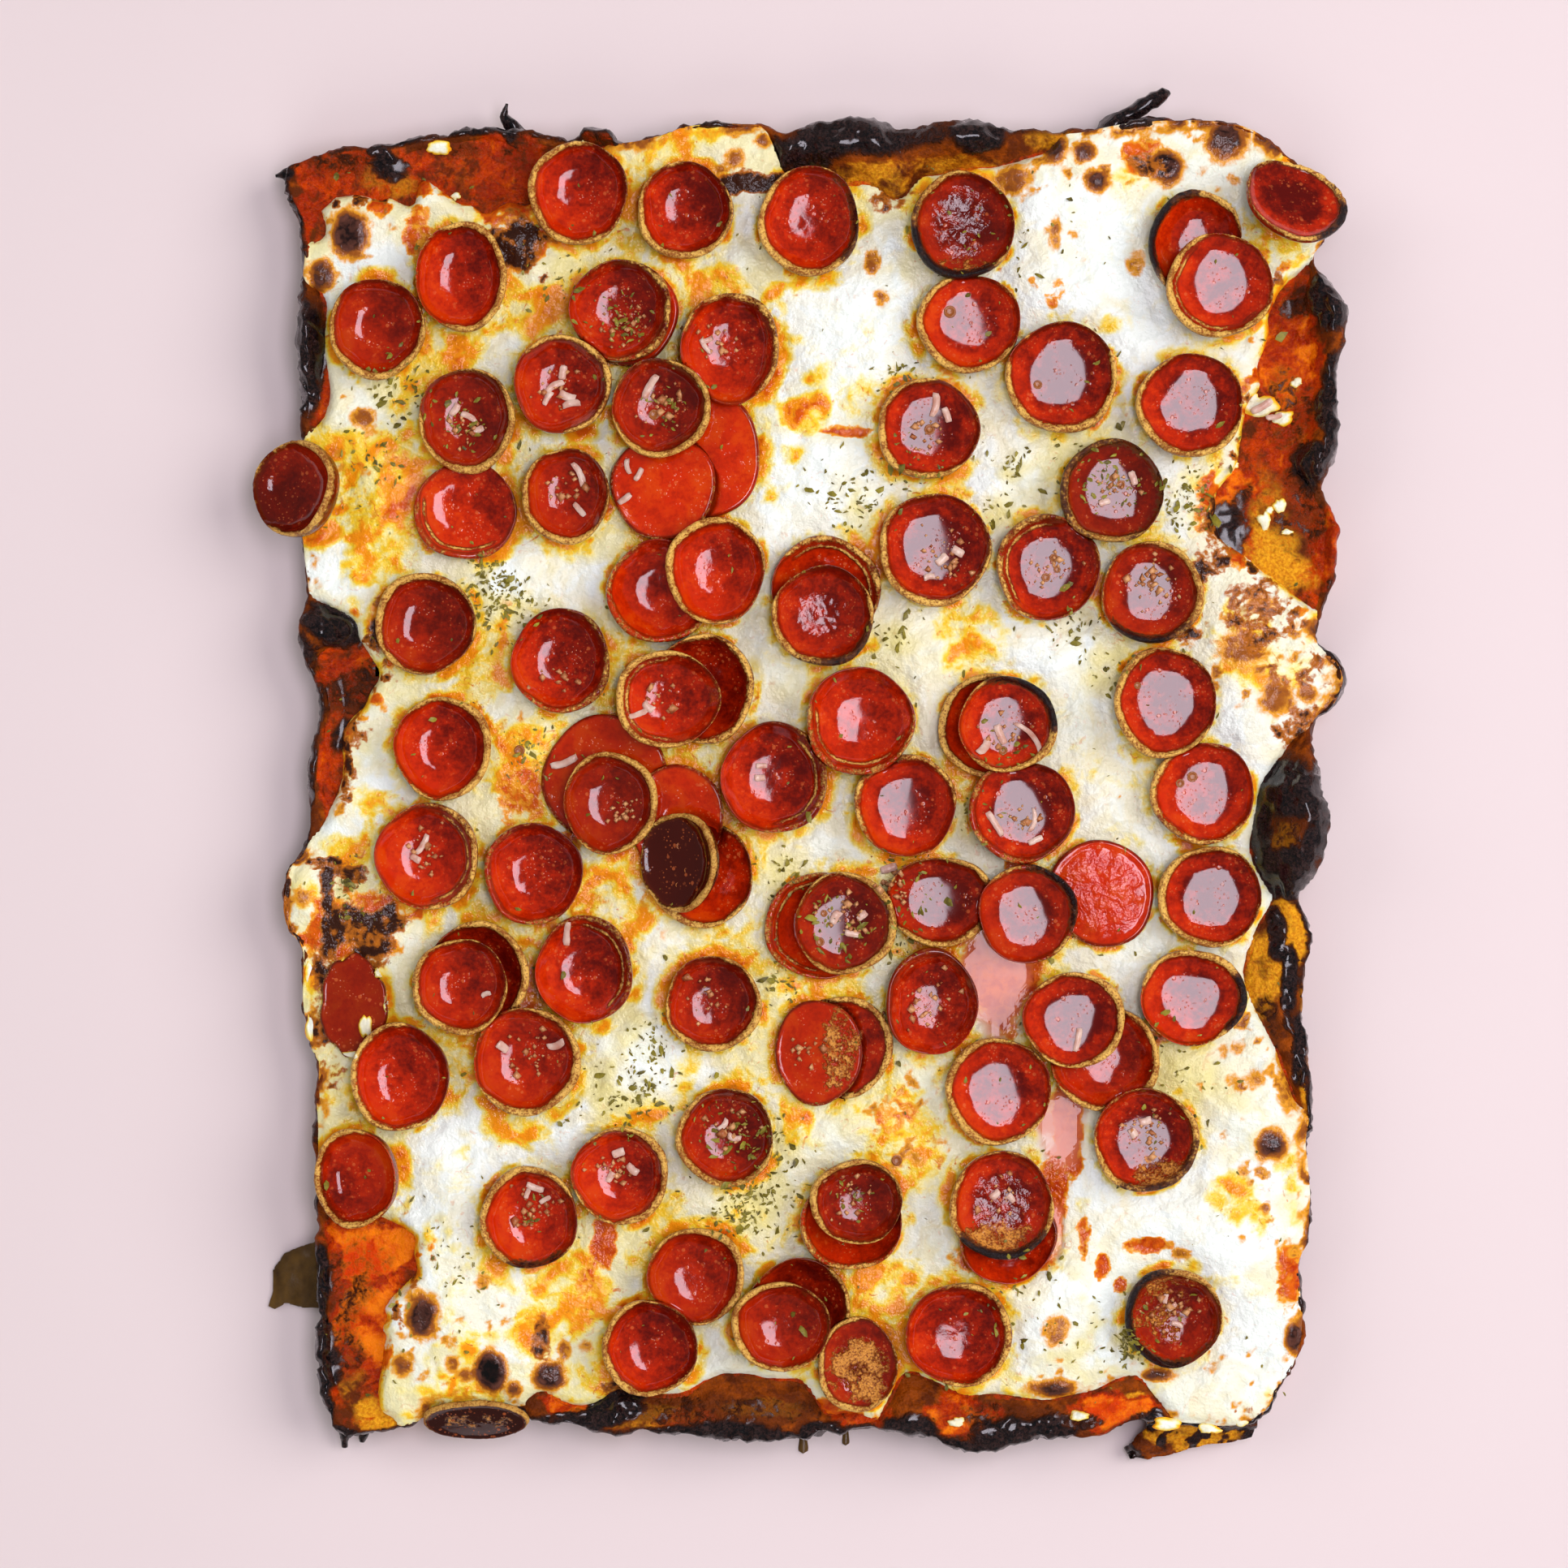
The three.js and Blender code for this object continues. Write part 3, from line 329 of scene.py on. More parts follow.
# Brown blisters on the cheese, and where orange oil soaked it.
BLISTERS = [
    (432, 285, 22, 28, 1), (395, 340, 15, 18, 0.8), (448, 515, 16, 12, 0.55),
    (1435, 205, 20, 20, 0.95), (1513, 172, 26, 24, 1), (1352, 222, 16, 15, 0.9),
    (1336, 187, 13, 12, 0.75), (1300, 180, 14, 18, 0.95), (1250, 222, 22, 18, 0.55),
    (1300, 285, 8, 20, 0.5), (1075, 322, 9, 16, 0.5), (1085, 366, 9, 12, 0.45),
    (905, 195, 13, 13, 0.6), (940, 172, 10, 9, 0.6), (1400, 325, 12, 16, 0.4),
    (1567, 1410, 19, 20, 0.9), (1596, 1648, 13, 20, 0.95), (520, 1620, 20, 30, 1),
    (605, 1690, 16, 25, 1.2), (497, 1682, 14, 14, 0.6), (678, 1695, 20, 17, 0.95),
    (633, 1712, 10, 9, 0.7), (557, 1680, 8, 10, 0.5), (577, 1695, 13, 8, 0.5),
    (595, 1578, 10, 10, 0.45), (1297, 1712, 30, 12, 0.85), (1428, 1694, 20, 9, 0.8),
    (1300, 1640, 16, 20, 0.45), (1575, 860, 22, 24, 0.6), (1612, 855, 14, 12, 0.6),
    (1530, 800, 30, 22, 0.5), (1555, 745, 20, 14, 0.5), (1455, 1545, 12, 8, 0.5),
    (1650, 835, 12, 22, 0.4), (372, 1105, 11, 14, 0.5), (560, 300, 20, 10, 0.4),
    (1545, 1330, 14, 12, 0.35), (1525, 1290, 10, 9, 0.35), (1590, 1330, 16, 40, 0.45),
    (1520, 1330, 10, 8, 0.3), (695, 1665, 8, 14, 0.5), (720, 1660, 9, 7, 0.4),
]
OIL = [
    (500, 610, 50, 60, 0.95), (470, 575, 60, 60, 0.42), (455, 690, 45, 25, 0.6),
    (990, 505, 30, 26, 0.95), (1040, 530, 36, 8, 0.6), (600, 800, 34, 60, 0.75),
    (640, 960, 50, 50, 0.9), (760, 1090, 46, 50, 0.8), (650, 915, 30, 26, 0.8),
    (905, 830, 26, 36, 0.6), (1200, 800, 40, 40, 0.6), (1180, 770, 34, 26, 0.5),
    (1530, 1480, 40, 40, 0.55), (900, 1540, 40, 20, 0.7), (430, 1050, 40, 24, 0.8),
    (372, 1105, 18, 22, 0.6), (702, 1600, 74, 62, 0.72), (560, 1250, 36, 50, 0.5),
    (640, 1390, 50, 26, 0.6), (760, 1130, 50, 30, 0.6), (1110, 1380, 50, 50, 0.7),
    (1120, 1440, 36, 40, 0.7), (1080, 1570, 50, 30, 0.7), (830, 1480, 30, 20, 0.4),
    (480, 230, 40, 20, 0.3), (1400, 640, 20, 20, 0.3), (850, 640, 30, 26, 0.5),
    (1350, 400, 40, 14, 0.3), (1340, 940, 40, 30, 0.35), (1290, 1020, 40, 30, 0.3),
    (560, 860, 46, 24, 0.5), (620, 1130, 40, 22, 0.5), (935, 1330, 40, 40, 0.4),
    (830, 330, 30, 14, 0.4), (560, 440, 26, 14, 0.3), (1545, 800, 60, 60, 0.6),
    (1215, 450, 16, 30, 0.5), (700, 1340, 30, 24, 0.35), (700, 190, 20, 10, 0.4),
    (795, 195, 26, 20, 0.7), (1240, 1610, 16, 34, 0.4), (920, 1170, 30, 50, 0.35),
    (1010, 900, 20, 30, 0.35), (1060, 850, 30, 18, 0.4),
]
# Where sauce shows through the cheese, where oil stands on it, and where it is scorched.
SAUCE_THROUGH = [
    (745, 1530, 18, 46, 0.8), (725, 1580, 26, 20, 0.5), (1240, 1550, 62, 26, 1),
    (1316, 1370, 20, 90, 0.9), (1300, 1470, 20, 50, 0.9), (1235, 1190, 44, 82, 1),
    (1260, 1090, 26, 40, 0.9), (1415, 1535, 30, 13, 0.8), (1040, 532, 34, 7, 0.9),
    (640, 980, 30, 36, 0.6), (860, 1090, 40, 20, 0.5), (430, 1150, 60, 46, 0.8),
    (470, 1120, 46, 30, 0.6), (1335, 1528, 8, 30, 0.7), (1360, 1560, 10, 16, 0.8),
    (1380, 1584, 9, 10, 0.7), (1300, 360, 14, 22, 0.25), (600, 1215, 50, 16, 0.4),
    (1100, 1375, 30, 22, 0.4), (1590, 1570, 20, 44, 0.7), (640, 240, 40, 50, 0.8),
    (520, 285, 20, 30, 0.6), (640, 300, 46, 40, 0.9), (1000, 1740, 60, 20, 0.8),
    (1410, 195, 30, 30, 0.7), (1275, 350, 10, 10, 0.3), (700, 1050, 20, 30, 0.5),
    (1590, 560, 20, 20, 0.5),
]
POOLS = [
    (1228, 1195, 40, 88, 1), (1252, 1110, 24, 46, 1), (1306, 1390, 30, 48, 1),
    (1405, 1445, 12, 10, 1), (1298, 1520, 14, 34, 0.8),
]
SCORCH = [
    (640, 300, 46, 34, 1), (450, 1150, 46, 40, 0.85), (1500, 655, 24, 44, 0.8),
    (1540, 760, 56, 40, 0.45), (420, 1080, 26, 20, 0.4), (1600, 900, 22, 30, 0.7),
    (1420, 205, 24, 24, 0.4), (470, 770, 20, 36, 0.7), (430, 900, 24, 30, 0.7),
    (400, 1230, 20, 60, 0.5), (1110, 250, 40, 16, 0.3), (930, 225, 40, 14, 0.9),
    (1450, 780, 30, 14, 0.5), (1540, 1740, 20, 10, 0.4), (760, 1712, 30, 14, 0.8),
    (1560, 1745, 12, 10, 0.7), (668, 1650, 14, 40, 0.4), (1600, 820, 40, 30, 0.3),
    (404, 1110, 9, 60, 1), (360, 1052, 14, 10, 0.8), (352, 1150, 14, 14, 0.8),
    (400, 1062, 24, 7, 0.9), (350, 1100, 6, 60, 0.8), (470, 1150, 36, 30, 0.7),
    (425, 985, 8, 30, 0.45), (410, 1320, 14, 24, 0.5), (1585, 900, 20, 14, 0.6),
    (1480, 700, 14, 40, 0.5),
]
# Where the cheese is freckled with small browned bubbles.
FRECKLED = [
    (1535, 1300, 70, 80, 1), (1545, 800, 90, 70, 1), (1545, 1480, 70, 50, 0.9),
    (1400, 195, 160, 44, 0.9), (560, 1650, 100, 90, 0.6), (920, 195, 70, 40, 1),
    (1560, 1700, 60, 50, 0.9), (1270, 1690, 130, 30, 0.7), (430, 1010, 60, 60, 0.9),
    (1110, 1400, 80, 80, 0.7), (450, 600, 60, 90, 0.6), (640, 900, 70, 90, 0.6),
    (1290, 270, 60, 60, 0.5), (420, 300, 60, 50, 0.8), (760, 1120, 60, 60, 0.5),
    (1220, 800, 60, 50, 0.4),
]
# Where the cheese stayed white.
MILKY = [
    (1050, 400, 110, 90, 1), (1000, 600, 90, 70, 1), (1290, 330, 110, 110, 1),
    (1180, 590, 60, 60, 0.9), (640, 700, 50, 40, 0.9), (560, 1450, 110, 70, 0.9),
    (550, 1600, 100, 100, 0.9), (1290, 1630, 90, 60, 0.9), (1480, 1500, 100, 80, 1),
    (820, 1310, 60, 40, 0.8), (1420, 620, 60, 60, 0.8), (980, 660, 40, 40, 0.9),
    (700, 1400, 60, 40, 0.7), (1290, 800, 70, 50, 0.7), (1530, 900, 60, 70, 0.7),
    (460, 330, 60, 60, 0.7), (900, 250, 40, 40, 0.6), (1420, 450, 50, 90, 0.8),
    (640, 300, 60, 40, 0.5), (820, 1190, 40, 60, 0.7), (1560, 1650, 60, 70, 0.8),
    (420, 690, 50, 40, 0.6), (720, 720, 50, 30, 0.7), (1050, 320, 60, 60, 0.8),
    (640, 1600, 70, 50, 0.7), (450, 1000, 60, 50, 0.6), (1330, 1460, 60, 50, 0.6),
]
# Golden, crusty parts of slices.
CRUSTED = [
    (1060, 1690, 34, 44, 0.8), (1036, 1296, 24, 46, 0.6), (1233, 1525, 44, 20, 0.8),
    (1430, 1445, 34, 22, 0.7), (1430, 1600, 50, 60, 0.35), (586, 1754, 46, 12, 0.3),
    (1185, 330, 44, 14, 0.4),
]

# Bits of melted cheese on the bare crust: column, row, radius across and radius down.
CHEESE_BITS = [
    (540, 181, 13, 9), (1556, 500, 24, 12), (1582, 514, 12, 9), (1578, 622, 8, 11),
    (484, 1232, 9, 20), (452, 1262, 8, 14), (384, 1196, 8, 26), (383, 1262, 8, 20),
    (1440, 1757, 18, 8), (1492, 1762, 14, 7), (1528, 1752, 10, 6), (1560, 640, 8, 12),
    (1600, 470, 8, 6), (430, 258, 9, 7), (470, 1122, 16, 9), (440, 1106, 10, 7), (488, 1136, 8, 6),
    (1330, 1745, 12, 6), (1180, 1752, 10, 5), (408, 1182, 13, 7), (398, 1292, 12, 8),
    (434, 1300, 12, 6), (470, 1198, 10, 8), (1546, 490, 9, 7), (560, 240, 7, 5), (1566, 628, 6, 5),
    (1588, 655, 7, 4), (1520, 570, 8, 6),
]

# Dried herbs: column, row, spread and number.
HERBS = [
    (620, 740, 34, 150), (600, 700, 24, 40), (490, 470, 34, 60), (1050, 615, 34, 60),
    (1100, 460, 20, 26), (1120, 575, 30, 30), (1465, 615, 34, 80), (1245, 575, 20, 26),
    (1225, 630, 22, 22), (1105, 790, 26, 24), (1325, 772, 28, 34), (800, 1290, 36, 60),
    (790, 1340, 36, 60), (940, 1410, 40, 60), (930, 1480, 46, 130), (905, 1500, 30, 50),
    (960, 1210, 24, 34), (1390, 1655, 20, 60), (1250, 925, 20, 20), (772, 400, 26, 50),
    (577, 520, 30, 40), (818, 505, 30, 40), (1368, 600, 34, 50), (1010, 1130, 26, 26),
    (1120, 1150, 34, 30), (894, 1400, 34, 50), (653, 1500, 20, 14), (1045, 1145, 30, 30),
    (1055, 1475, 26, 24), (430, 1100, 36, 40), (650, 925, 26, 36), (1450, 1330, 60, 30),
    (1240, 1600, 60, 30), (560, 1560, 60, 40), (1240, 300, 70, 30), (700, 340, 50, 36),
    (1330, 560, 60, 30), (960, 1070, 30, 24), (760, 1360, 50, 40), (1330, 1650, 50, 24),
    (1120, 1090, 40, 30), (1360, 820, 30, 26), (455, 560, 36, 40), (1200, 1000, 30, 20),
]

STRAY_HERBS = 420
STRAY_AREA = (400, 1600, 200, 1720)

# Shreds of hard cheese: column, row, direction in degrees, length.
SHREDS = [
    (712, 585, -65, 36), (714, 628, -50, 24), (802, 478, 60, 38), (870, 428, -55, 26),
    (1150, 500, -100, 34), (1166, 512, -70, 22), (775, 575, -80, 22), (787, 585, 60, 20),
    (770, 615, 35, 22), (1265, 912, -52, 62), (1326, 1280, 78, 34), (520, 1040, 60, 32),
    (512, 1058, -30, 16), (700, 1150, 84, 34), (685, 1285, 20, 26), (1095, 1070, 18, 24),
    (785, 880, 20, 32), (800, 870, -40, 18), (1275, 1035, 25, 22), (695, 938, 20, 40),
    (684, 478, 30, 30), (700, 488, -20, 24), (676, 492, 60, 22), (694, 460, 80, 20),
    (705, 500, 10, 26), (1160, 690, 40, 20), (1180, 680, -30, 18), (1145, 712, 10, 16),
    (660, 1462, -20, 26), (672, 1478, 30, 18), (650, 1470, 70, 16), (762, 1420, 20, 18),
    (780, 1440, -40, 20), (752, 1450, 60, 16), (890, 1385, 50, 20), (905, 1400, -15, 20),
    (1410, 1380, 15, 18), (1395, 1395, -60, 14), (1225, 1470, 40, 16), (1245, 1475, -50, 14),
    (1232, 905, -68, 30), (1210, 920, 50, 24), (1270, 1010, 80, 34), (1225, 1015, -58, 40),
    (600, 1225, 20, 14), (620, 1290, -40, 18), (1030, 1130, 60, 20), (1050, 1150, -10, 22),
    (1062, 1128, 40, 16), (938, 944, 4, 16), (936, 958, 3, 15), (872, 420, 20, 16),
    (560, 505, 55, 20), (578, 515, -30, 24), (590, 530, 20, 16), (1555, 500, 30, 34),
    (1570, 512, 10, 24), (1395, 590, -70, 20), (1360, 620, 20, 16), (1444, 1610, 40, 16),
    (1450, 1632, -20, 18), (1436, 1600, 80, 14),
]

# Crumbs of browned cheese and chilli in the cups: column, row, spread and number.
CRUMBS = [
    (768, 1000, 18, 26), (576, 528, 20, 24), (768, 398, 26, 30), (818, 500, 24, 26),
    (694, 600, 26, 20), (690, 480, 24, 22), (880, 420, 22, 18), (1140, 530, 26, 24),
    (1168, 690, 34, 34), (1375, 600, 26, 26), (1298, 700, 26, 24), (1418, 720, 30, 34),
    (1105, 1085, 26, 30), (1140, 1240, 30, 34), (1045, 1130, 30, 34), (894, 1390, 28, 34),
    (762, 1440, 28, 30), (655, 1480, 26, 26), (1410, 1395, 30, 36), (1232, 1480, 26, 26),
    (1045, 1475, 26, 22), (1444, 1610, 28, 30), (1000, 1300, 30, 24), (874, 1230, 26, 20),
    (528, 1050, 26, 20), (650, 1300, 28, 26), (1258, 1010, 24, 18), (1240, 905, 24, 20),
    (692, 830, 30, 14), (820, 860, 30, 16),
]

# Bubbles in the oil: column, row and radius.
BUBBLES = [
    (1170, 385, 7), (1278, 475, 5), (1145, 530, 6), (1468, 957, 6), (1453, 965, 5), (1015, 1125, 4),
    (1010, 1160, 5), (1105, 1430, 6), (1298, 688, 5), (1288, 712, 5), (1302, 702, 4),
    (1380, 598, 5), (1370, 590, 4), (806, 512, 6), (640, 925, 6), (1418, 720, 5), (1400, 845, 4),
    (1235, 925, 5), (838, 1042, 4), (848, 1072, 4), (836, 1090, 3), (852, 1036, 3),
]

# Drips of oil that ran out from under the lower edge: column, row, width and length.
DRIPS = [(990, 1768, 8, 34), (1043, 1764, 6, 28)]


def sheet_x(column):
    """Millimetres to the right of the middle."""
    return (np.asarray(column, float) - MIDDLE_COLUMN) * GRID


def sheet_y(row):
    """Millimetres up from the middle."""
    return (MIDDLE_ROW - np.asarray(row, float)) * GRID


def fade(low, high, value):
    """Smooth step from 0 at low to 1 at high."""
    t = np.clip((value - low) / (high - low), 0, 1)
    return t * t * (3 - 2 * t)


def cloud(x, y, cell, seed, octaves=3):
    """Smooth random relief from about -1 to 1 whose largest features are a cell wide."""
    total = np.zeros_like(x, float)
    weight, reach = 1.0, 0.0
    for octave in range(octaves):
        table = np.random.default_rng(seed * 31 + octave).uniform(-1, 1, (128, 128))
        turn = 0.6 + octave * 1.1
        u = (x * math.cos(turn) - y * math.sin(turn)) / cell + 500
        v = (x * math.sin(turn) + y * math.cos(turn)) / cell + 500
        i, j = np.floor(u).astype(int), np.floor(v).astype(int)
        fu, fv = u - i, v - j
        fu, fv = fu * fu * (3 - 2 * fu), fv * fv * (3 - 2 * fv)
        i, j, i2, j2 = i % 128, j % 128, (i + 1) % 128, (j + 1) % 128
        low = table[i, j] * (1 - fu) + table[i2, j] * fu
        high = table[i, j2] * (1 - fu) + table[i2, j2] * fu
        total += weight * (low * (1 - fv) + high * fv)
        reach += weight
        weight *= 0.55
        cell *= 0.5
    return total / reach * 1.6


def spots(x, y, rows, ragged=0.25, seed=3, core=0.6, reach=1.2):
    """Strongest of the spots at each place: full within core radii, gone beyond reach radii."""
    mask = np.zeros_like(x, float)
    wobble = ragged * cloud(x, y, 7.0, seed)
    for column, row, across, down, strength in rows:
        u = (x - sheet_x(column)) / (across * GRID)
        v = (y - sheet_y(row)) / (down * GRID)
        mask = np.maximum(mask, strength * (1 - fade(core, reach, np.hypot(u, v) + wobble)))
    return mask


def edge_stations(spacing):
    """Even steps round the edge: place, direction in, rim width, crest, bare sauce width."""
    columns, rows, rim, crest, bare = np.array(EDGE, float)[::-1].T
    values = np.stack([sheet_x(columns), sheet_y(rows), rim * GRID, crest, bare * GRID], 1)
    steps = np.hypot(*(np.roll(values, -1, 0) - values)[:, :2].T)
    start = np.concatenate([[0], np.cumsum(steps)])
    along = np.arange(0, start[-1], spacing)
    k = np.searchsorted(start, along, side="right") - 1
    t = ((along - start[k]) / steps[k])[:, None]
    a, b, c, d = (values[(k + shift) % len(values)] for shift in (-1, 0, 1, 2))
    bend, twist = 2 * a - 5 * b + 4 * c - d, 3 * b - a - 3 * c + d
    curve = 0.5 * (2 * b + (c - a) * t + bend * t ** 2 + twist * t ** 3)
    place = curve[:, :2]
    left, right, top, bottom = CORE
    core = np.stack([np.clip(place[:, 0], sheet_x(left), sheet_x(right)),
                     np.clip(place[:, 1], sheet_y(bottom), sheet_y(top))], 1)
    inward = core - place
    inward /= np.hypot(*inward.T)[:, None]
    return {"place": place, "inward": inward, "along": along, "crest": curve[:, 3],
            "rim": np.maximum(curve[:, 2], NARROWEST_RIM),
            "bare": np.maximum(curve[:, 4], NARROWEST_SAUCE)}


def along_edge(stations, cell, seed, octaves=3):
    """Random relief that runs along the edge."""
    return cloud(stations["along"], np.zeros_like(stations["along"]), cell, seed, octaves)


def rim_height(crest, share):
    """Height of the rim's top at a share of its width, from the edge inwards."""
    bump = np.interp(share, [0.0, 0.2, 0.4, 0.7, 1.0], [0.5, 0.88, 1.0, 0.6, 0.0])
    return LIP_HEIGHT + (crest - LIP_HEIGHT) * bump


def depth_inside(x, y, outline):
    """Distance in from an outline (below 0 outside), the nearest station and the nearest place."""
    a = outline.astype(np.float32)
    d = np.roll(a, -1, 0) - a
    square = (d ** 2).sum(1)
    b_y = a[:, 1] + d[:, 1]
    depth, nearest = np.empty(len(x)), np.empty(len(x), int)
    place = np.empty((len(x), 2))
    for first in range(0, len(x), 1500):
        part = slice(first, first + 1500)
        px, py = x[part, None].astype(np.float32), y[part, None].astype(np.float32)
        t = np.clip(((px - a[:, 0]) * d[:, 0] + (py - a[:, 1]) * d[:, 1]) / square, 0, 1)
        qx, qy = a[:, 0] + t * d[:, 0], a[:, 1] + t * d[:, 1]
        away = (px - qx) ** 2 + (py - qy) ** 2
        k = away.argmin(1)
        rows = np.arange(len(k))
        crosses = (a[:, 1] > py) != (b_y > py)
        before = px < d[:, 0] * (py - a[:, 1]) / np.where(d[:, 1] == 0, 1e-9, d[:, 1]) + a[:, 0]
        inside = (crosses & before).sum(1) % 2 == 1
        depth[part] = np.sqrt(away[rows, k]) * np.where(inside, 1, -1)
        nearest[part] = k
        place[part] = np.stack([qx[rows, k], qy[rows, k]], 1)
    return depth, nearest, place


def make_piece(name, points, faces, masks=None):
    """A smooth mesh object from millimetre points, quads or triangles, and named masks."""
    mesh = bpy.data.meshes.new(name)
    points, faces = np.reshape(points, (-1, 3)), np.asarray(faces, np.int32)
    count, corners = faces.shape
    mesh.vertices.add(len(points))
    mesh.vertices.foreach_set("co", (np.asarray(points, np.float32) * MILLIMETRE).ravel())
    mesh.loops.add(faces.size)
    mesh.loops.foreach_set("vertex_index", faces.ravel())
    mesh.polygons.add(count)
    mesh.polygons.foreach_set("loop_start", np.arange(0, faces.size, corners, dtype=np.int32))
    mesh.polygons.foreach_set("loop_total", np.full(count, corners, np.int32))
    mesh.update(calc_edges=True)
    mesh.validate()
    mesh.polygons.foreach_set("use_smooth", np.ones(len(mesh.polygons), bool))
    for mask, values in (masks or {}).items():
        values = np.broadcast_to(np.ravel(values), len(points)).astype(np.float32)
        mesh.attributes.new(mask, "FLOAT", "POINT").data.foreach_set("value", values)
    piece = bpy.data.objects.new(name, mesh)
    bpy.context.scene.collection.objects.link(piece)
    return piece


def dress(piece, material, slot, *nodes):
    """Gives a piece its material and its place on the body, and hides the solids it stands for."""
    piece.data.materials.append(material)
    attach(piece, "root")
    if nodes:
        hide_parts(*nodes)


def grid_quads(rows, columns, closed=None):
    """Quads between the neighbours in a grid of points, which may be closed along one axis."""
    number = np.arange(rows * columns).reshape(rows, columns)
    if closed is not None:
        number = number.take(range(number.shape[closed] + 1), closed, mode="wrap")
    corners = [number[:-1, :-1], number[1:, :-1], number[1:, 1:], number[:-1, 1:]]
    quads = np.stack(corners, -1).reshape(-1, 4)
    return quads[:, [0, 3, 2, 1]] if closed == 1 else quads


def repeat_faces(faces, copies, points_each):
    """The same faces for each of many copies."""
    return (np.arange(copies)[:, None, None] * points_each + faces).reshape(-1, faces.shape[1])


def join_grids(grids, closed=None, caps=()):
    """Points and quads of several grids of points of one shape, each with the same caps."""
    rows, columns, _ = grids[0].shape
    quads = np.array([*grid_quads(rows, columns, closed), *caps])
    return np.concatenate(grids).reshape(-1, 3), repeat_faces(quads, len(grids), rows * columns)


def grid_sheet(outline, cell):
    """A sheet of quads that fills an outline: places, quads, depths inside it, nearest stations."""
    low, high = outline.min(0) - cell, outline.max(0) + cell
    xs, ys = np.arange(low[0], high[0] + cell, cell), np.arange(low[1], high[1] + cell, cell)
    x, y = (values.ravel() for values in np.meshgrid(xs, ys, indexing="ij"))
    depth, nearest, place = depth_inside(x, y, outline)
    quads = grid_quads(len(xs), len(ys))
    near = depth > -cell * 0.98
    quads = quads[near[quads].all(1) & (depth[quads] > cell * 0.12).any(1)]
    used, quads = np.unique(quads, return_inverse=True)
    x, y, depth, nearest, place = x[used], y[used], depth[used], nearest[used], place[used]
    outside = depth < 0
    x[outside], y[outside] = place[outside, 0], place[outside, 1]
    return x, y, quads.reshape(-1, 4), np.maximum(depth, 0), nearest


def border(quads):
    """Border edges of a grid of quads, in order of its faces."""
    edges = np.concatenate([quads[:, [k, (k + 1) % 4]] for k in range(4)])
    keys = np.sort(edges, 1)
    _, first, counts = np.unique(keys, axis=0, return_index=True, return_counts=True)
    return edges[first[counts == 1]]


def hem(points, quads, steps):
    """Carries a sheet's border on by steps of (way out, rise), so that it has a thick edge.

    It gives the points, the quads and the number of the sheet's point that each came from.
    """
    edges = border(quads)
    rim = np.unique(edges)
    out = np.zeros((len(points), 2))
    along = points[edges[:, 1], :2] - points[edges[:, 0], :2]
    for side in (0, 1):
        np.add.at(out, edges[:, side], np.stack([along[:, 1], -along[:, 0]], 1))
    out = out[rim] / (np.hypot(*out[rim].T)[:, None] + 1e-9)
    first, second = np.searchsorted(rim, edges).T
    upper, count = rim, len(points)
    all_points, all_quads = [points], [quads]
    for way_out, rise in steps:
        ring = points[rim].copy()
        ring[:, :2] += out * way_out
        ring[:, 2] += rise
        lower = np.arange(count, count + len(rim))
        all_quads.append(np.stack([upper[second], upper[first], lower[first], lower[second]], 1))
        all_points.append(ring)
        upper, count = lower, count + len(rim)
    source = np.concatenate([np.arange(len(points)), *[rim] * len(steps)])
    return np.concatenate(all_points), np.concatenate(all_quads), source


def bake_masks(x, y):
    """How charred, sauce-stained and golden the dough is at each place."""
    return {
        "char": spots(x, y, CHAR, 0.35, 5),
        "red": spots(x, y, RED, 0.35, 6),
        "gold": spots(x, y, GOLD, 0.3, 7),
    }


# --- shading ---------------------------------------------------------------------------------


def feed(tree, socket, value):
    """Links a socket to another one, or sets its colour or number."""
    if isinstance(value, bpy.types.NodeSocket):
        tree.links.new(value, socket)
    elif socket.type == "RGBA":
        socket.default_value = (*value, 1)
    else:
        socket.default_value = value


def add(tree, kind, values=None, **settings):
    """Adds a node, sets it up and feeds its inputs, given by name or number."""
    node = tree.nodes.new(kind)
    for name, value in settings.items():
        setattr(node, name, value)
    for key, value in (values or {}).items():
        feed(tree, node.inputs[key], value)
    return node


def blend_colour(tree, factor, low, high):
    """A colour between two others."""
    values = {0: factor, 6: low, 7: high}
    return add(tree, "ShaderNodeMix", values, data_type="RGBA").outputs[2]


def calc(tree, operation, a, b=0.0):
    """One step of arithmetic."""
    return add(tree, "ShaderNodeMath", {0: a, 1: b}, operation=operation).outputs[0]


def times(tree, a, b):
    """Product of two values."""
    return calc(tree, "MULTIPLY", a, b)


def window(tree, value, low, high, to_low=0.0, to_high=1.0):
    """Takes a value from between two limits to between two others, smoothly."""
    values = {"Value": value, "From Min": low, "From Max": high, "To Min": to_low, "To Max": to_high}
    return add(tree, "ShaderNodeMapRange", values, interpolation_type="SMOOTHSTEP").outputs[0]


def stir(tree, mask, *stirrers):
    """A mask with noise worked into it where it is above 0: pairs of noise and strength."""
    hold = add(tree, "ShaderNodeMath", {0: mask, 1: 5.0}, operation="MULTIPLY", use_clamp=True)
    for extra, strength in stirrers:
        swing = times(tree, calc(tree, "SUBTRACT", extra, 0.5), strength)
        mask = calc(tree, "ADD", mask, times(tree, swing, hold.outputs[0]))
    return mask


def tint(tree, colour, mask, strength, over):
    """Lays a colour over another, as far as a mask times a strength."""
    return blend_colour(tree, times(tree, mask, strength), colour, over)


def layer(tree, colour, mask, *coats):
    """Lays colours over another, each where the mask rises from low to high: low, high, colour."""
    for low, high, over in coats:
        colour = blend_colour(tree, window(tree, mask, low, high), colour, over)
    return colour


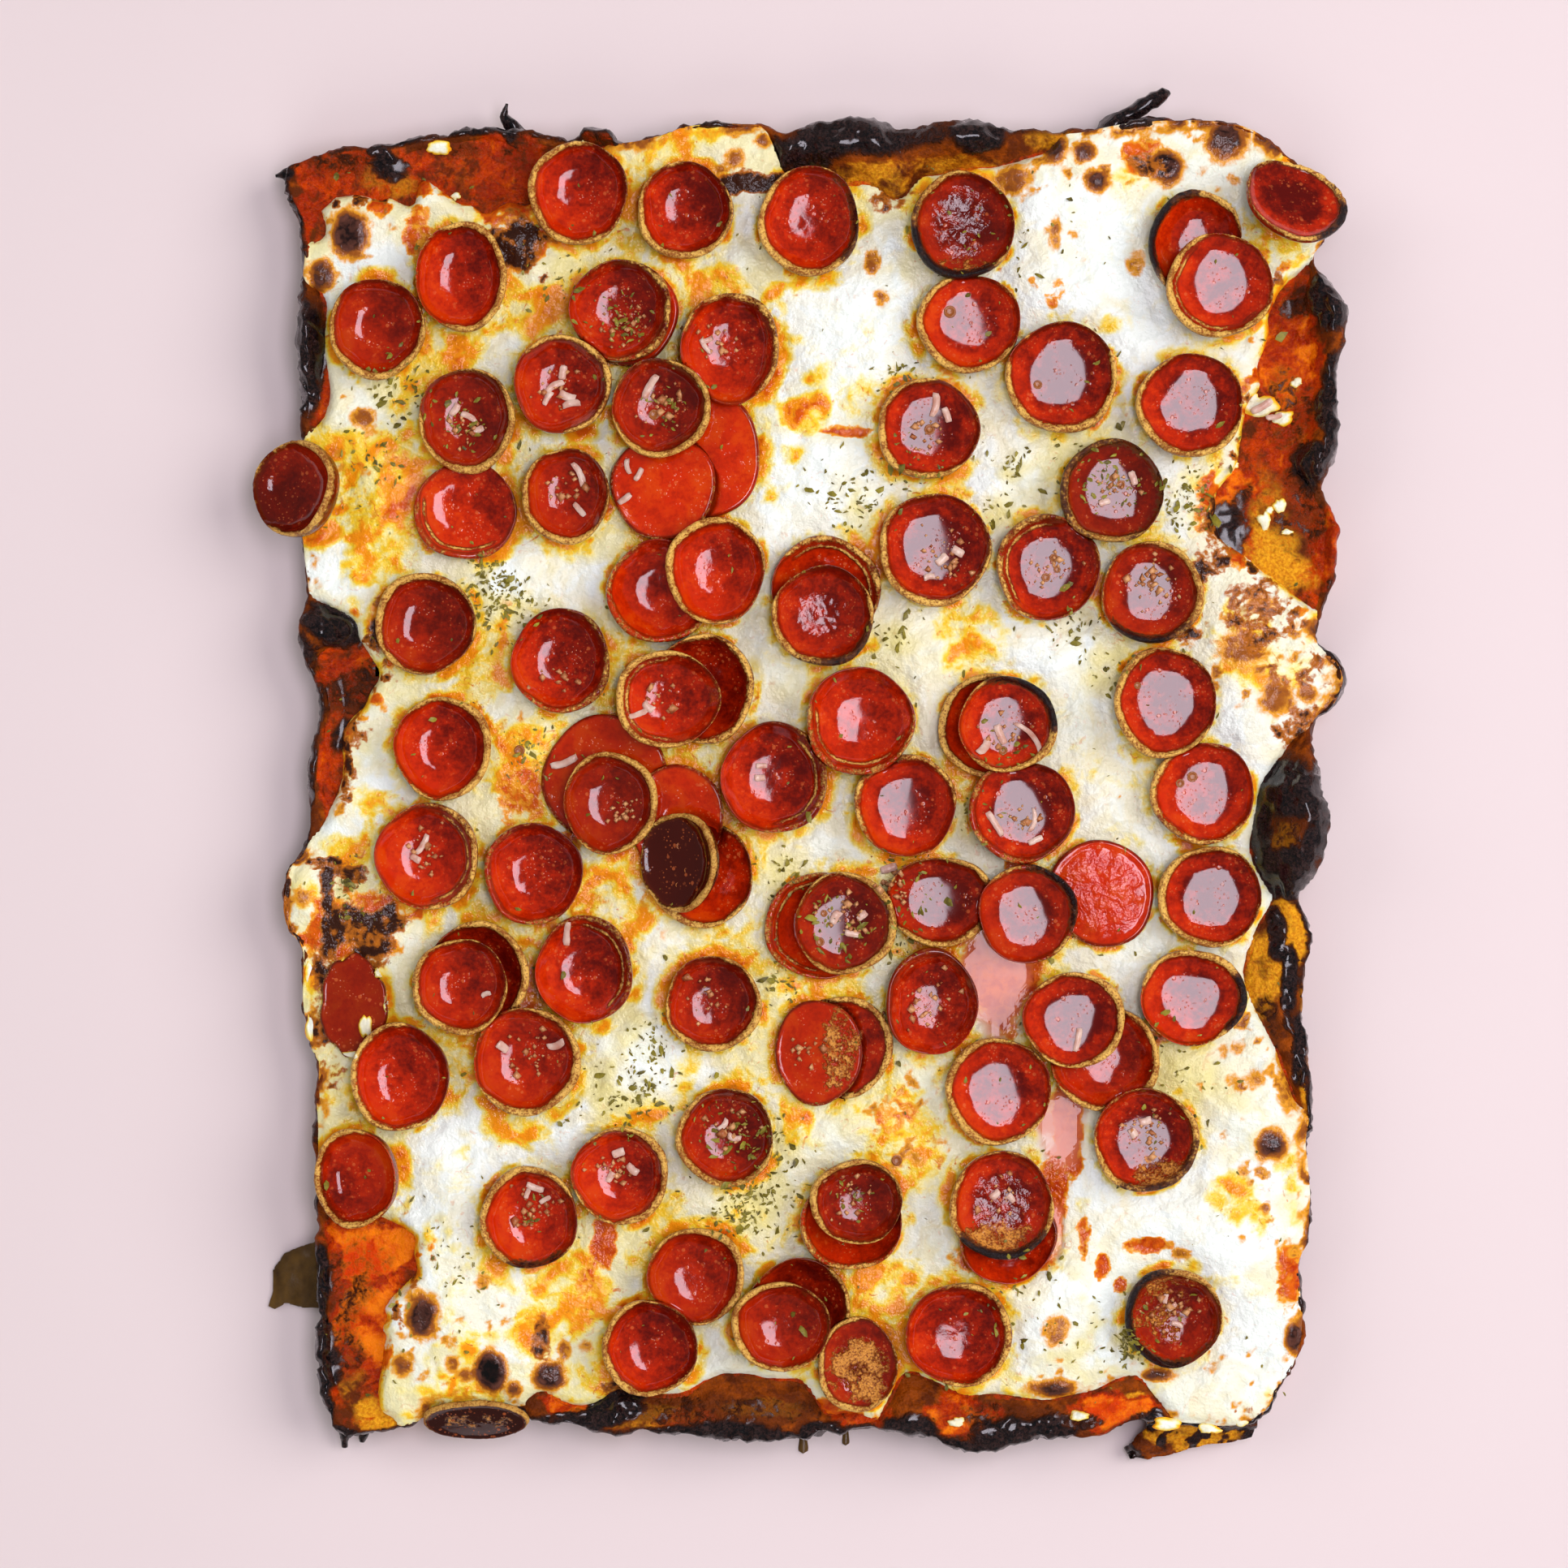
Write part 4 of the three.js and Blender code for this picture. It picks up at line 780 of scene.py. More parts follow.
def masks_of(tree, *names):
    """Values of the piece's own masks."""
    return [add(tree, "ShaderNodeAttribute", attribute_name=name).outputs["Fac"] for name in names]


def noise(tree, vector, scale, detail=3.0, swirl=0.0):
    """Cloudy noise from 0 to 1."""
    values = {"Vector": vector, "Scale": scale, "Detail": detail, "Roughness": 0.55, "Distortion": swirl}
    return add(tree, "ShaderNodeTexNoise", values).outputs[0]


def new_group(name, inputs, output):
    """An empty node group with number inputs (name and default) and one number output."""
    tree = bpy.data.node_groups.new(name, "ShaderNodeTree")
    for label, default in inputs.items():
        socket = tree.interface.new_socket(label, in_out="INPUT", socket_type="NodeSocketFloat")
        socket.default_value = default
    tree.interface.new_socket(output, in_out="OUTPUT", socket_type="NodeSocketFloat")
    source = tree.nodes.new("NodeGroupInput").outputs
    end = tree.nodes.new("NodeGroupOutput").inputs[output]
    here = tree.nodes.new("ShaderNodeTexCoord").outputs["Object"]
    return tree, source, end, here


def mottle_group():
    """Cloudy patches: 0 below Low, 1 above High."""
    inputs = {"Scale": 200.0, "Detail": 3.0, "Low": 0.4, "High": 0.6, "Swirl": 0.0}
    tree, source, end, here = new_group("Mottle", inputs, "Mask")
    value = noise(tree, here, source["Scale"], source["Detail"], source["Swirl"])
    feed(tree, end, window(tree, value, source["Low"], source["High"]))
    return tree


def specks_group():
    """Round grains, of a size that is a share of their spacing."""
    tree, source, end, here = new_group("Specks", {"Scale": 600.0, "Size": 0.3}, "Mask")
    cells = add(tree, "ShaderNodeTexVoronoi", {"Vector": here, "Scale": source["Scale"]})
    full = times(tree, source["Size"], 0.55)
    feed(tree, end, window(tree, cells.outputs["Distance"], full, source["Size"], 1.0, 0.0))
    return tree


def relief_group():
    """Height of a lumpy surface with fine grain on it."""
    inputs = {"Lump Scale": 200.0, "Grain Scale": 1200.0, "Grain Share": 0.4}
    tree, source, end, here = new_group("Relief", inputs, "Height")
    lump = noise(tree, here, source["Lump Scale"], 4.0)
    grain = noise(tree, here, source["Grain Scale"], 2.0)
    feed(tree, end, calc(tree, "ADD", lump, times(tree, grain, source["Grain Share"])))
    return tree


def shared(tree, name, **values):
    """Places one of the shared groups with its own values and gives its output."""
    makers = {"Mottle": mottle_group, "Specks": specks_group, "Relief": relief_group}
    node = tree.nodes.new("ShaderNodeGroup")
    node.node_tree = bpy.data.node_groups.get(name) or makers[name]()
    for key, value in values.items():
        feed(tree, node.inputs[key.replace("_", " ")], value)
    return node.outputs[0]


def mottle(tree, scale, low, high, detail=3.0, swirl=0.0):
    """Cloudy patches of one scale."""
    return shared(tree, "Mottle", Scale=scale, Detail=detail, Low=low, High=high, Swirl=swirl)


def relief(tree, lump, grain, share):
    """Lumps with a share of fine grain."""
    return shared(tree, "Relief", Lump_Scale=lump, Grain_Scale=grain, Grain_Share=share)


def new_material(name):
    """A material, its node tree and the inputs of its shader."""
    material = bpy.data.materials.new(name)
    material.use_nodes = True
    tree = material.node_tree
    return material, tree, tree.nodes["Principled BSDF"].inputs


def bump(tree, shader, height, strength, distance):
    """Raises the surface by a height."""
    values = {"Height": height, "Strength": strength, "Distance": distance}
    feed(tree, shader["Normal"], add(tree, "ShaderNodeBump", values).outputs[0])


def dough_material(name, look, wet):
    """Baked dough: golden to brown, stained by sauce where red is high, black where charred."""
    material, tree, shader = new_material(name)
    char, red, gold = masks_of(tree, "char", "red", "gold")
    patches = mottle(tree, 85.0, 0.32, 0.68, swirl=1.2)
    fine = mottle(tree, 300.0, 0.26, 0.74, swirl=0.8)
    grain = mottle(tree, 1100.0, 0.3, 0.7, detail=2.0)
    streaks = mottle(tree, 130.0, 0.46, 0.74, swirl=2.5)
    tone = stir(tree, patches, (fine, 0.7), (grain, 0.3))
    colour = blend_colour(tree, tone, look.dough_brown, look.dough_golden)
    bright = blend_colour(tree, grain, (0.62, 0.20, 0.006), (0.88, 0.40, 0.014))
    golden = stir(tree, gold, (patches, 0.3), (fine, 0.4))
    colour = layer(tree, colour, golden, (0.15, 0.85, bright))
    sauce = blend_colour(tree, tone, look.sauce_red, look.sauce_orange)
    sauce = tint(tree, sauce, streaks, 0.88, (0.10, 0.008, 0.002))
    sauce = tint(tree, sauce, grain, 0.12, (0.80, 0.13, 0.006))
    fresh = blend_colour(tree, tone, (0.66, 0.045, 0.001), (0.92, 0.21, 0.004))
    sauce = layer(tree, sauce, stir(tree, red, (patches, 0.4), (fine, 0.25)), (0.9, 1.35, fresh))
    stained = window(tree, stir(tree, red, (fine, 0.4), (patches, 0.4)), 0.2, 0.75)
    colour = blend_colour(tree, stained, colour, sauce)
    soot = stir(tree, grain, (fine, 0.8))
    black = blend_colour(tree, soot, (0.003, 0.003, 0.005), (0.046, 0.021, 0.019))
    burnt = stir(tree, char, (fine, 0.32), (patches, 0.2), (grain, 0.12))
    browned = (0.075, 0.016, 0.004)
    colour = layer(tree, colour, burnt, (0.06, 0.46, browned), (0.36, 0.78, black))
    feed(tree, shader["Base Color"], colour)
    moist = calc(tree, "MAXIMUM", stained, burnt)
    feed(tree, shader["Roughness"], window(tree, moist, 0.0, 1.0, 0.45, wet))
    shader["Specular IOR Level"].default_value = 0.1
    feed(tree, shader["Coat Weight"], window(tree, burnt, 0.3, 0.8))
    shader["Coat Roughness"].default_value = 0.12
    creases = calc(tree, "ABSOLUTE", calc(tree, "SUBTRACT", fine, 0.5))
    creases = times(tree, window(tree, burnt, 0.2, 0.8, 0.0, 2.4), creases)
    height = calc(tree, "ADD", relief(tree, 330.0, 1300.0, 0.25), creases)
    bump(tree, shader, height, 0.9, 0.0016)
    return material


def cheese_material(look):
    """Melted cheese: cream, yellow and orange with oil, brown blisters, sauce where it is thin."""
    material, tree, shader = new_material("melted_cheese")
    brown, oil, sauce, scorch, pool, herbed = masks_of(
        tree, "brown", "oil", "sauce", "scorch", "pool", "herbed")
    broad = mottle(tree, 42.0, 0.40, 0.62)
    patches = mottle(tree, 110.0, 0.32, 0.68, swirl=0.8)
    fine = mottle(tree, 380.0, 0.32, 0.68, swirl=0.4)
    flecks = mottle(tree, 260.0, 0.60, 0.72, swirl=1.5)
    pale = calc(tree, "SUBTRACT", stir(tree, patches, (broad, 0.6)), times(tree, herbed, 0.6))
    colour = blend_colour(tree, pale, look.cheese_cream, look.cheese_white)
    haze = calc(tree, "ADD", times(tree, broad, 0.16), times(tree, herbed, 0.55))
    colour = blend_colour(tree, haze, colour, (0.80, 0.68, 0.12))
    oiled = stir(tree, oil, (patches, 0.4), (fine, 0.16))
    colour = layer(tree, colour, oiled, (0.04, 0.30, (0.92, 0.80, 0.30)), (0.24, 0.46, look.oil_yellow),
                   (0.42, 0.70, look.oil_orange), (0.78, 1.1, (0.70, 0.10, 0.004)))
    speckled = times(tree, flecks, calc(tree, "ADD", times(tree, oil, 0.7), 0.14))
    colour = layer(tree, colour, speckled, (0.0, 0.5, (0.70, 0.20, 0.010)))
    red = blend_colour(tree, fine, (0.46, 0.032, 0.002), (0.74, 0.13, 0.004))
    stained = stir(tree, sauce, (patches, 0.5), (fine, 0.35))
    colour = layer(tree, colour, stained, (0.10, 0.36, (0.90, 0.36, 0.02)), (0.32, 0.66, red))
    colour = tint(tree, colour, pool, window(tree, patches, 0, 1, 0.9, 0.5), (0.72, 0.19, 0.10))
    roast = stir(tree, brown, (fine, 0.22))
    blistered = blend_colour(tree, fine, (0.014, 0.006, 0.006), (0.13, 0.045, 0.030))
    colour = layer(tree, colour, roast, (0.04, 0.30, (0.80, 0.33, 0.02)), (0.28, 0.52, (0.34, 0.095, 0.012)),
                   (0.52, 0.80, blistered), (0.95, 1.2, (0.006, 0.005, 0.005)))
    dark = stir(tree, scorch, (patches, 0.7), (fine, 0.45))
    colour = layer(tree, colour, dark, (0.14, 0.46, (0.46, 0.13, 0.012)), (0.42, 0.86, (0.04, 0.012, 0.006)))
    feed(tree, shader["Base Color"], colour)
    wet = calc(tree, "MAXIMUM", calc(tree, "MAXIMUM", oiled, sauce), roast)
    wet = calc(tree, "ADD", wet, pool)
    feed(tree, shader["Roughness"], window(tree, wet, 0.1, 1.3, 0.23, 0.04))
    shader["IOR"].default_value = 1.40
    dry = calc(tree, "SUBTRACT", 1.0, calc(tree, "MAXIMUM", pool, times(tree, roast, 0.6)))
    bump(tree, shader, times(tree, relief(tree, 190.0, 520.0, 0.14), dry), 0.8, 0.0019)
    return material


def pepperoni_material(look):
    """Cured sausage: glossy red with specks of fat, painted lighter on one side and darker on the other, a
    golden granular rim, black where burnt.
    """
    material, tree, shader = new_material("pepperoni_meat")
    rim, burn, meat_tone_and_painted_light, cook, crusted, pool, crackled = masks_of(
        tree, "rim", "burn", "meat_tone_and_painted_light", "cook", "crusted", "pool", "crackled")
    patches = mottle(tree, 210.0, 0.36, 0.64, detail=4.0)
    fine = mottle(tree, 900.0, 0.34, 0.66)
    grain = mottle(tree, 1500.0, 0.3, 0.66, detail=2.0)
    blotches = mottle(tree, 120.0, 0.36, 0.66, swirl=0.6)
    # Painted light and shade: each slice goes from dark to bright meat by its painted light, with orange
    # blotches where it is painted lightest.
    painted_light_glow = stir(tree, meat_tone_and_painted_light, (patches, 0.3), (fine, 0.2), (blotches, 0.16))
    painted_light_glow = calc(tree, "SUBTRACT", painted_light_glow, times(tree, pool, 0.3))
    colour = blend_colour(tree, window(tree, painted_light_glow, -0.1, 1.0), look.meat_dark_shaded, look.meat_bright_lit)
    orange = window(tree, painted_light_glow, 0.6, 1.1, 0.0, 0.45)
    colour = tint(tree, colour, blotches, orange, (0.72, 0.085, 0.002))
    colour = tint(tree, colour, cook, 0.8, (0.095, 0.006, 0.002))
    colour = layer(tree, colour, cook, (1.0, 1.5, (0.022, 0.004, 0.002)))
    specks = [shared(tree, "Specks", Scale=scale, Size=size) for scale, size in ((380, 0.27), (900, 0.28))]
    fat = times(tree, calc(tree, "MAXIMUM", *specks), window(tree, patches, 0.35, 1.0))
    colour = tint(tree, colour, fat, 0.42, (0.76, 0.17, 0.045))
    coarse = stir(tree, grain, (patches, 0.9))
    crumb = blend_colour(tree, coarse, (0.34, 0.100, 0.010), (0.90, 0.52, 0.11))
    crumb = tint(tree, crumb, cook, 0.3, (0.30, 0.105, 0.012))
    finer = stir(tree, grain, (patches, 0.6))
    toasted = blend_colour(tree, finer, (0.22, 0.045, 0.006), (0.74, 0.30, 0.045))
    # Dark line at both edges of the rim: partly the meat's own dark edge, partly painted shade in the crease.
    rim_line_and_painted_shade = times(tree, window(tree, rim, 0.02, 0.18), window(tree, rim, 0.22, 0.42, 1.0, 0.0))
    colour = tint(tree, colour, rim_line_and_painted_shade, 0.6, (0.10, 0.012, 0.002))
    edge = window(tree, stir(tree, rim, (fine, 0.22), (patches, 0.16)), 0.24, 0.62)
    crust = window(tree, stir(tree, crusted, (fine, 0.5), (patches, 0.5)), 0.2, 0.9)
    gold = calc(tree, "MAXIMUM", edge, crust)
    colour = blend_colour(tree, crust, blend_colour(tree, edge, colour, crumb), toasted)
    singed = stir(tree, burn, (fine, 0.3), (patches, 0.3))
    colour = layer(tree, colour, singed, (0.08, 0.45, (0.11, 0.030, 0.008)),
                   (0.40, 0.85, (0.012, 0.006, 0.006)))
    feed(tree, shader["Base Color"], colour)
    veined = window(tree, crackled, 0.2, 0.9)
    dull = calc(tree, "MAXIMUM", gold, times(tree, veined, 0.25))
    feed(tree, shader["Roughness"], window(tree, dull, 0.0, 1.0, 0.07, 0.5))
    shader["IOR"].default_value = 1.55
    dry = calc(tree, "SUBTRACT", 1.0, pool)
    strength = times(tree, window(tree, gold, 0.0, 1.0, 0.022, 1.3), dry)
    strength = calc(tree, "ADD", strength, times(tree, veined, 0.15))
    strength = calc(tree, "ADD", strength, times(tree, fat, 0.05))
    folds = times(tree, calc(tree, "ADD", patches, blotches), times(tree, veined, 0.32))
    height = times(tree, relief(tree, 480.0, 1700.0, 0.5), strength)
    bump(tree, shader, calc(tree, "ADD", height, folds), 1.0, 0.0008)
    return material


def plain_food_material(name, dark, light, roughness, spread=500.0):
    """Small toppings: two tones in patches."""
    material, tree, shader = new_material(name)
    tone, = masks_of(tree, "tone")
    patches = times(tree, mottle(tree, spread, 0.3, 0.7, detail=2.0), 0.3)
    tone = calc(tree, "ADD", times(tree, tone, 0.7), patches)
    feed(tree, shader["Base Color"], blend_colour(tree, tone, dark, light))
    shader["Roughness"].default_value = roughness
    bump(tree, shader, relief(tree, 1500.0, 4000.0, 0.3), 0.3, 0.0003)
    return material


# --- crust, sauce and cheese -----------------------------------------------------------------


def crust_profile(rim, crest):
    """Insets and heights from the foot up the wall and over the rim, down into the sauce."""
    top = rim_height(crest, 0.0)
    rows = [(FOOT_INSET + 5, 0), (FOOT_INSET + 1.2, 0), (FOOT_INSET, 0.3)]
    for share in (0.12, 0.28, 0.45, 0.62, 0.8, 1.0):
        rows.append((FOOT_INSET * (1 - share) ** 2, 0.3 + share * (BELLY_HEIGHT - 0.3)))
    for share in (0.2, 0.4, 0.6, 0.8, 0.93):
        rows.append((0.1 * share, BELLY_HEIGHT + share * (top - BELLY_HEIGHT)))
    rows.append((0.5, top + (rim_height(crest, 0.1) - top) * 0.6))
    for share in np.linspace(0.12, 1.0, 15):
        rows.append((np.maximum(rim * share, 0.5 + share), rim_height(crest, share)))
    rows += [(rim + 0.8, LIP_HEIGHT - 0.8), (rim + 1.8, SAUCE_HEIGHT - 0.5), (rim + 3.5, DOUGH_TOP)]
    return (np.stack([np.broadcast_to(row[k], rim.shape) for row in rows], 1) for k in (0, 1))


def crust_ring():
    """The crust's wall and rim, swept round the edge, with crags where it is charred."""
    s = edge_stations(CRUST_STEP)
    rim = s["rim"][:, None]
    inset, height = crust_profile(s["rim"], s["crest"])
    rough_edge = 0.55 * along_edge(s, 5.0, 11) + 0.3 * along_edge(s, 2.2, 12, 2)
    on_wall = fade(0.0, 4.0, height) * (1 - fade(0.2, 1.0, inset / rim))
    inset = inset - rough_edge[:, None] * on_wall
    points = np.empty((*inset.shape, 3))
    points[..., :2] = s["place"][:, None] + s["inward"][:, None] * inset[..., None]
    points[..., 2] = height
    across = np.roll(points, -1, 0) - np.roll(points, 1, 0)
    normal = np.cross(across, np.gradient(points, axis=1))
    normal /= np.linalg.norm(normal, axis=2)[..., None] + 1e-9
    x, y, z = np.moveaxis(points, -1, 0)
    masks = bake_masks(x, y)
    u, v = x + 0.8 * z, y - 0.7 * z
    outer = (1 - fade(0.4, 2.8, inset)) * (0.42 + 0.5 * cloud(u, v, 14.0, 25, 2))
    masks["char"] = np.maximum(masks["char"], np.clip(outer, 0, 0.9))
    lumps = 0.45 * cloud(u, v, 9.0, 21) + 0.28 * cloud(u, v, 3.4, 22)
    wrinkle = 1 - np.abs(cloud(u, v, 7.0, 23, 3))
    crags = masks["char"] * (1.9 * (wrinkle - 0.6) + 0.5 * cloud(u, v, 2.6, 24, 2))
    push = (lumps + crags) * fade(0.3, 3.0, z) * (1 - fade(rim - 0.5, rim + 2.5, inset))
    points += normal * push[..., None]
    points[..., 2] = np.maximum(points[..., 2], 0)
    return points, masks


def crust_piece(look):
    """The baked crust, darker on its rim than on its side."""
    points, masks = crust_ring()
    x, y, z = np.moveaxis(points, -1, 0)
    side = 1 - fade(11.0, 16.5, z)
    baked = cloud(x + z, y - z, 12.0, 31)
    burnt_side, golden_side = side * fade(0.25, 0.9, baked) * 0.55, side * fade(-0.2, 0.6, -baked) * 0.35
    masks["char"] = np.maximum(masks["char"] * (1 - 0.35 * side), burnt_side)
    masks["red"] = masks["red"] * (1 - side)
    masks["gold"] = np.maximum(masks["gold"] * (1 - side), golden_side)
    piece = make_piece("baked_crust", points, grid_quads(*z.shape, closed=0), masks)
    dress(piece, dough_material("baked_dough", look, 0.25), "crust", "crust")


def underside_piece(look):
    """The flat, browned underside, drawn in a little from the crust's foot."""
    s = edge_stations(COARSE_STEP)
    outline = s["place"] + s["inward"] * (FOOT_INSET + 1.0)
    x, y, quads, depth, _ = grid_sheet(outline, UNDERSIDE_CELL)
    z = (0.25 + 0.12 * cloud(x, y, 9.0, 41)) * fade(0, 4, depth)
    points = np.stack([x, y, np.maximum(z, 0.02)], 1)
    char, gold = fade(0.1, 1.4, cloud(x, y, 16.0, 42)) * 0.5, fade(0.0, 1.2, cloud(x, y, 22.0, 43)) * 0.6
    masks = {"char": char, "red": 0, "gold": gold}
    piece = make_piece("crust_underside", points, quads[:, ::-1], masks)
    dress(piece, dough_material("browned_underside", look, 0.5), "crust")


def torn_slab(rows, cell, crag, seed, lowest):
    """A small ragged slab of dough or dried oil, from the rows of its outline: points and quads."""
    columns, rows, tops = np.array(rows, float)[::-1].T
    corners = np.stack([sheet_x(columns), sheet_y(rows)], 1)
    ahead = np.roll(corners, -1, 0) - corners
    outline = np.stack([corners + ahead * share for share in (0, 0.25, 0.5, 0.75)], 1).reshape(-1, 2)
    torn = np.stack([cloud(*outline.T, 2.5, seed), cloud(*outline.T, 2.5, seed + 1)], 1)
    x, y, quads, depth, _ = grid_sheet(outline + 0.4 * crag * torn, cell)
    away = ((x[:, None] - corners[:, 0]) ** 2 + (y[:, None] - corners[:, 1]) ** 2 + 0.5) ** 1.5
    z = (tops / away).sum(1) / (1 / away).sum(1)
    z = z - 1.2 * (1 - fade(0, 2.0, depth)) * crag + crag * 0.6 * cloud(x, y, 3.0, seed + 2)
    points, quads, _ = hem(np.stack([x, y, z], 1), quads, [(0.15, -0.5), (0.1, -1.2)])
    points[:, 2] = np.maximum(points[:, 2], lowest)
    return points, quads


def flap_piece():
    """The torn flap of dough at the lower right."""
    points, quads = torn_slab(FLAP, 0.7, 1.0, 51, 2.6)
    x, y, _ = points.T
    masks = bake_masks(x, y)
    masks["char"] = np.maximum(masks["char"], 0.8 * fade(0.0, 0.7, cloud(x, y, 4.0, 52)))
    piece = make_piece("torn_flap", points, quads, masks)
    thickness = piece.modifiers.new("Thickness", "SOLIDIFY")
    thickness.thickness, thickness.offset = 0.0024, -1
    dress(piece, bpy.data.materials["baked_dough"], "crust")


def flake_piece():
    """The thin flake of dried oil at the left."""
    points, quads = torn_slab(FLAKE, 0.9, 0.35, 54, 0.1)
    tone = 0.5 + 0.5 * cloud(points[:, 0], points[:, 1] * 0.3, 3.0, 55)
    piece = make_piece("oil_flake", points, quads, {"tone": tone})
    dark, light = (0.040, 0.018, 0.004), (0.15, 0.075, 0.014)
    dress(piece, plain_food_material("dried_oil", dark, light, 0.25, 300.0), "crust")


def circle(count):
    """Even angles all the way round."""
    return np.linspace(0, 2 * math.pi, count, endpoint=False)


def wisp_piece():
    """Charred wisps and drips that stand out from the rim."""
    tubes, rings = [], 16
    angle = circle(10)[None, :, None]
    for row, path in enumerate(WISPS.values()):
        columns, rows, heights, radii = np.array(path, float).T
        t, steps = np.linspace(0, len(path) - 1, rings), np.arange(len(path))
        line = (sheet_x(columns), sheet_y(rows), heights, radii)
        smooth = np.stack([np.interp(t, steps, values) for values in line], 1)[:, None]
        middle, radius = smooth[..., :3], smooth[..., 3:]
        along = np.gradient(middle, axis=0)
        along /= np.linalg.norm(along, axis=2)[..., None]
        side = np.cross([0, 0, 1], along)
        side /= np.linalg.norm(side, axis=2)[..., None]
        ring = middle + radius * (side * np.cos(angle) + np.cross(along, side) * np.sin(angle))
        bulge = cloud(ring[..., 0] + ring[..., 2], ring[..., 1] + row * 9, 1.8, 61 + row, 2)
        tubes.append(ring + (ring - middle) * 0.28 * bulge[..., None])
    points, quads = join_grids(tubes, closed=1)
    piece = make_piece("charred_wisps", points, quads, {"char": 0.95, "red": 0, "gold": 0})
    dress(piece, bpy.data.materials["baked_dough"], "crust")


def sauce_piece(look):
    """Cooked sauce on the dough inside the rim, thin and grainy, rising a little at the rim."""
    s = edge_stations(SAUCE_STEP)
    outline = s["place"] + s["inward"] * (s["rim"] * 0.97)[:, None]
    x, y, quads, depth, nearest = grid_sheet(outline, SAUCE_CELL)
    grains = 0.5 * (1 - np.abs(cloud(x, y, 8.0, 71))) - 0.3 + 0.3 * cloud(x, y, 2.8, 72, 2)
    rise = (LIP_HEIGHT - 0.2 - SAUCE_HEIGHT) * (1 - fade(0, 5.0, depth))
    points = np.stack([x, y, SAUCE_HEIGHT + 0.2 + grains + rise], 1)
    masks = bake_masks(x, y)
    masks["char"] = masks["char"] * 0.9
    masks["red"] = np.maximum(masks["red"], 0.55) * (1 - 0.75 * masks["gold"])
    shown = depth <= s["bare"][nearest] + 9
    used, quads = np.unique(quads[shown[quads].any(1)], return_inverse=True)
    masks = {name: mask[used] for name, mask in masks.items()}
    piece = make_piece("cooked_sauce", points[used], quads.reshape(-1, 4), masks)
    dress(piece, dough_material("cooked_sauce", look, 0.2), "sauce", "sauce")


def slice_share(x, y, row):
    """Distance from a slice's middle as a share of its radius."""
    _, column, line, across, down, _ = row
    return np.hypot((x - sheet_x(column)) / (across * GRID), (y - sheet_y(line)) / (down * GRID))


def cheese_height(x, y):
    """Swells and mounds, low under the slices, with small lumps."""
    swell = 0.55 + 0.25 * np.sin(x / 13 + 0.7) * np.cos(y / 17) + 0.2 * np.sin((x + 1.4 * y) / 11 + 2.1)
    lift = 1.5 * swell
    for column, row, radius, height in MOUNDS:
        away = np.hypot(x - sheet_x(column), y - sheet_y(row)) / radius
        lift = lift + height * np.exp(-away * away)
    lift = lift + 0.7 * cloud(x, y, 10.0, 81) + 0.16 * cloud(x, y, 4.0, 82, 2)
    ease = np.ones_like(x)
    for row in SLICES:
        ease = np.minimum(ease, 0.12 + 0.88 * fade(0.66, 1.55, slice_share(x, y, row)))
    return CHEESE_SEAT + 0.35 + lift * ease


def cheese_outline(s, loose):
    """The cheese's outline: over the rim in places, ragged where it ends loose on the sauce."""
    ragged = along_edge(s, 9.0, 91) * 2.2 + along_edge(s, 3.4, 92, 2) * 1.5
    over_rim = (s["rim"] < 4.2) & (s["bare"] < 2.5)
    inset = np.where(over_rim, s["rim"] * 0.3, s["rim"] + s["bare"]) + ragged * (0.2 + 0.8 * loose)
    around = np.concatenate([inset[-2:], inset, inset[:2]])
    inset = np.maximum(np.convolve(around, [0.1, 0.2, 0.4, 0.2, 0.1], "valid"), 0.5)
    return s["place"] + s["inward"] * inset[:, None]


def cheese_relief(x, y, depth, masks):
    """Height of the cheese: thin over sauce, level in pools, raised in blisters, round at its edge."""
    pool, base = masks["pool"], SAUCE_HEIGHT + 0.3
    z = (cheese_height(x, y) - 0.7 * masks["sauce"]) * (1 - pool) + (CHEESE_SEAT + 0.9) * pool
    z = z + 1.1 * fade(0.3, 0.9, masks["brown"]) + masks["scorch"] * 0.5 * cloud(x, y, 2.6, 97, 2)
    share = np.clip(depth / 3.5, 0, 1)
    return base + (z - base) * np.sqrt(share * (2 - share))


def cheese_oil(x, y, milky):
    """How oily the cheese is: in spots, in veins, where oil seeps and in rings round the slices."""
    halo, ring = np.zeros_like(x), np.zeros_like(x)
    for row in SLICES:
        share = slice_share(x, y, row)
        halo = np.maximum(halo, 1 - fade(1.0, 1.35, share))
        ring = np.maximum(ring, 1 - fade(1.02, 1.13, share))
    left_side = 1 - 0.55 * fade(20, 90, x)
    streaks = fade(-0.3, 0.8, cloud(x, y, 11.0, 100))
    bent_x, bent_y = x + 3.5 * cloud(x, y, 13.0, 106), y + 3.5 * cloud(x, y, 13.0, 107)
    veins = fade(0.5, 0.95, 1 - np.abs(cloud(bent_x, bent_y, 13.0, 101, 2)))
    seep = fade(-0.15, 0.9, cloud(bent_x, bent_y, 17.0, 102)) * (0.45 + 0.55 * veins)
    return np.maximum.reduce([
        spots(x, y, OIL, 0.45, 99, 0.35, 1.35) * (0.5 + 0.6 * veins),
        halo * (0.15 + 0.75 * streaks) * left_side,
        0.78 * seep * left_side * (1 - 0.8 * milky),
        ring * fade(-0.3, 0.9, cloud(x, y, 8.0, 115)),
    ])


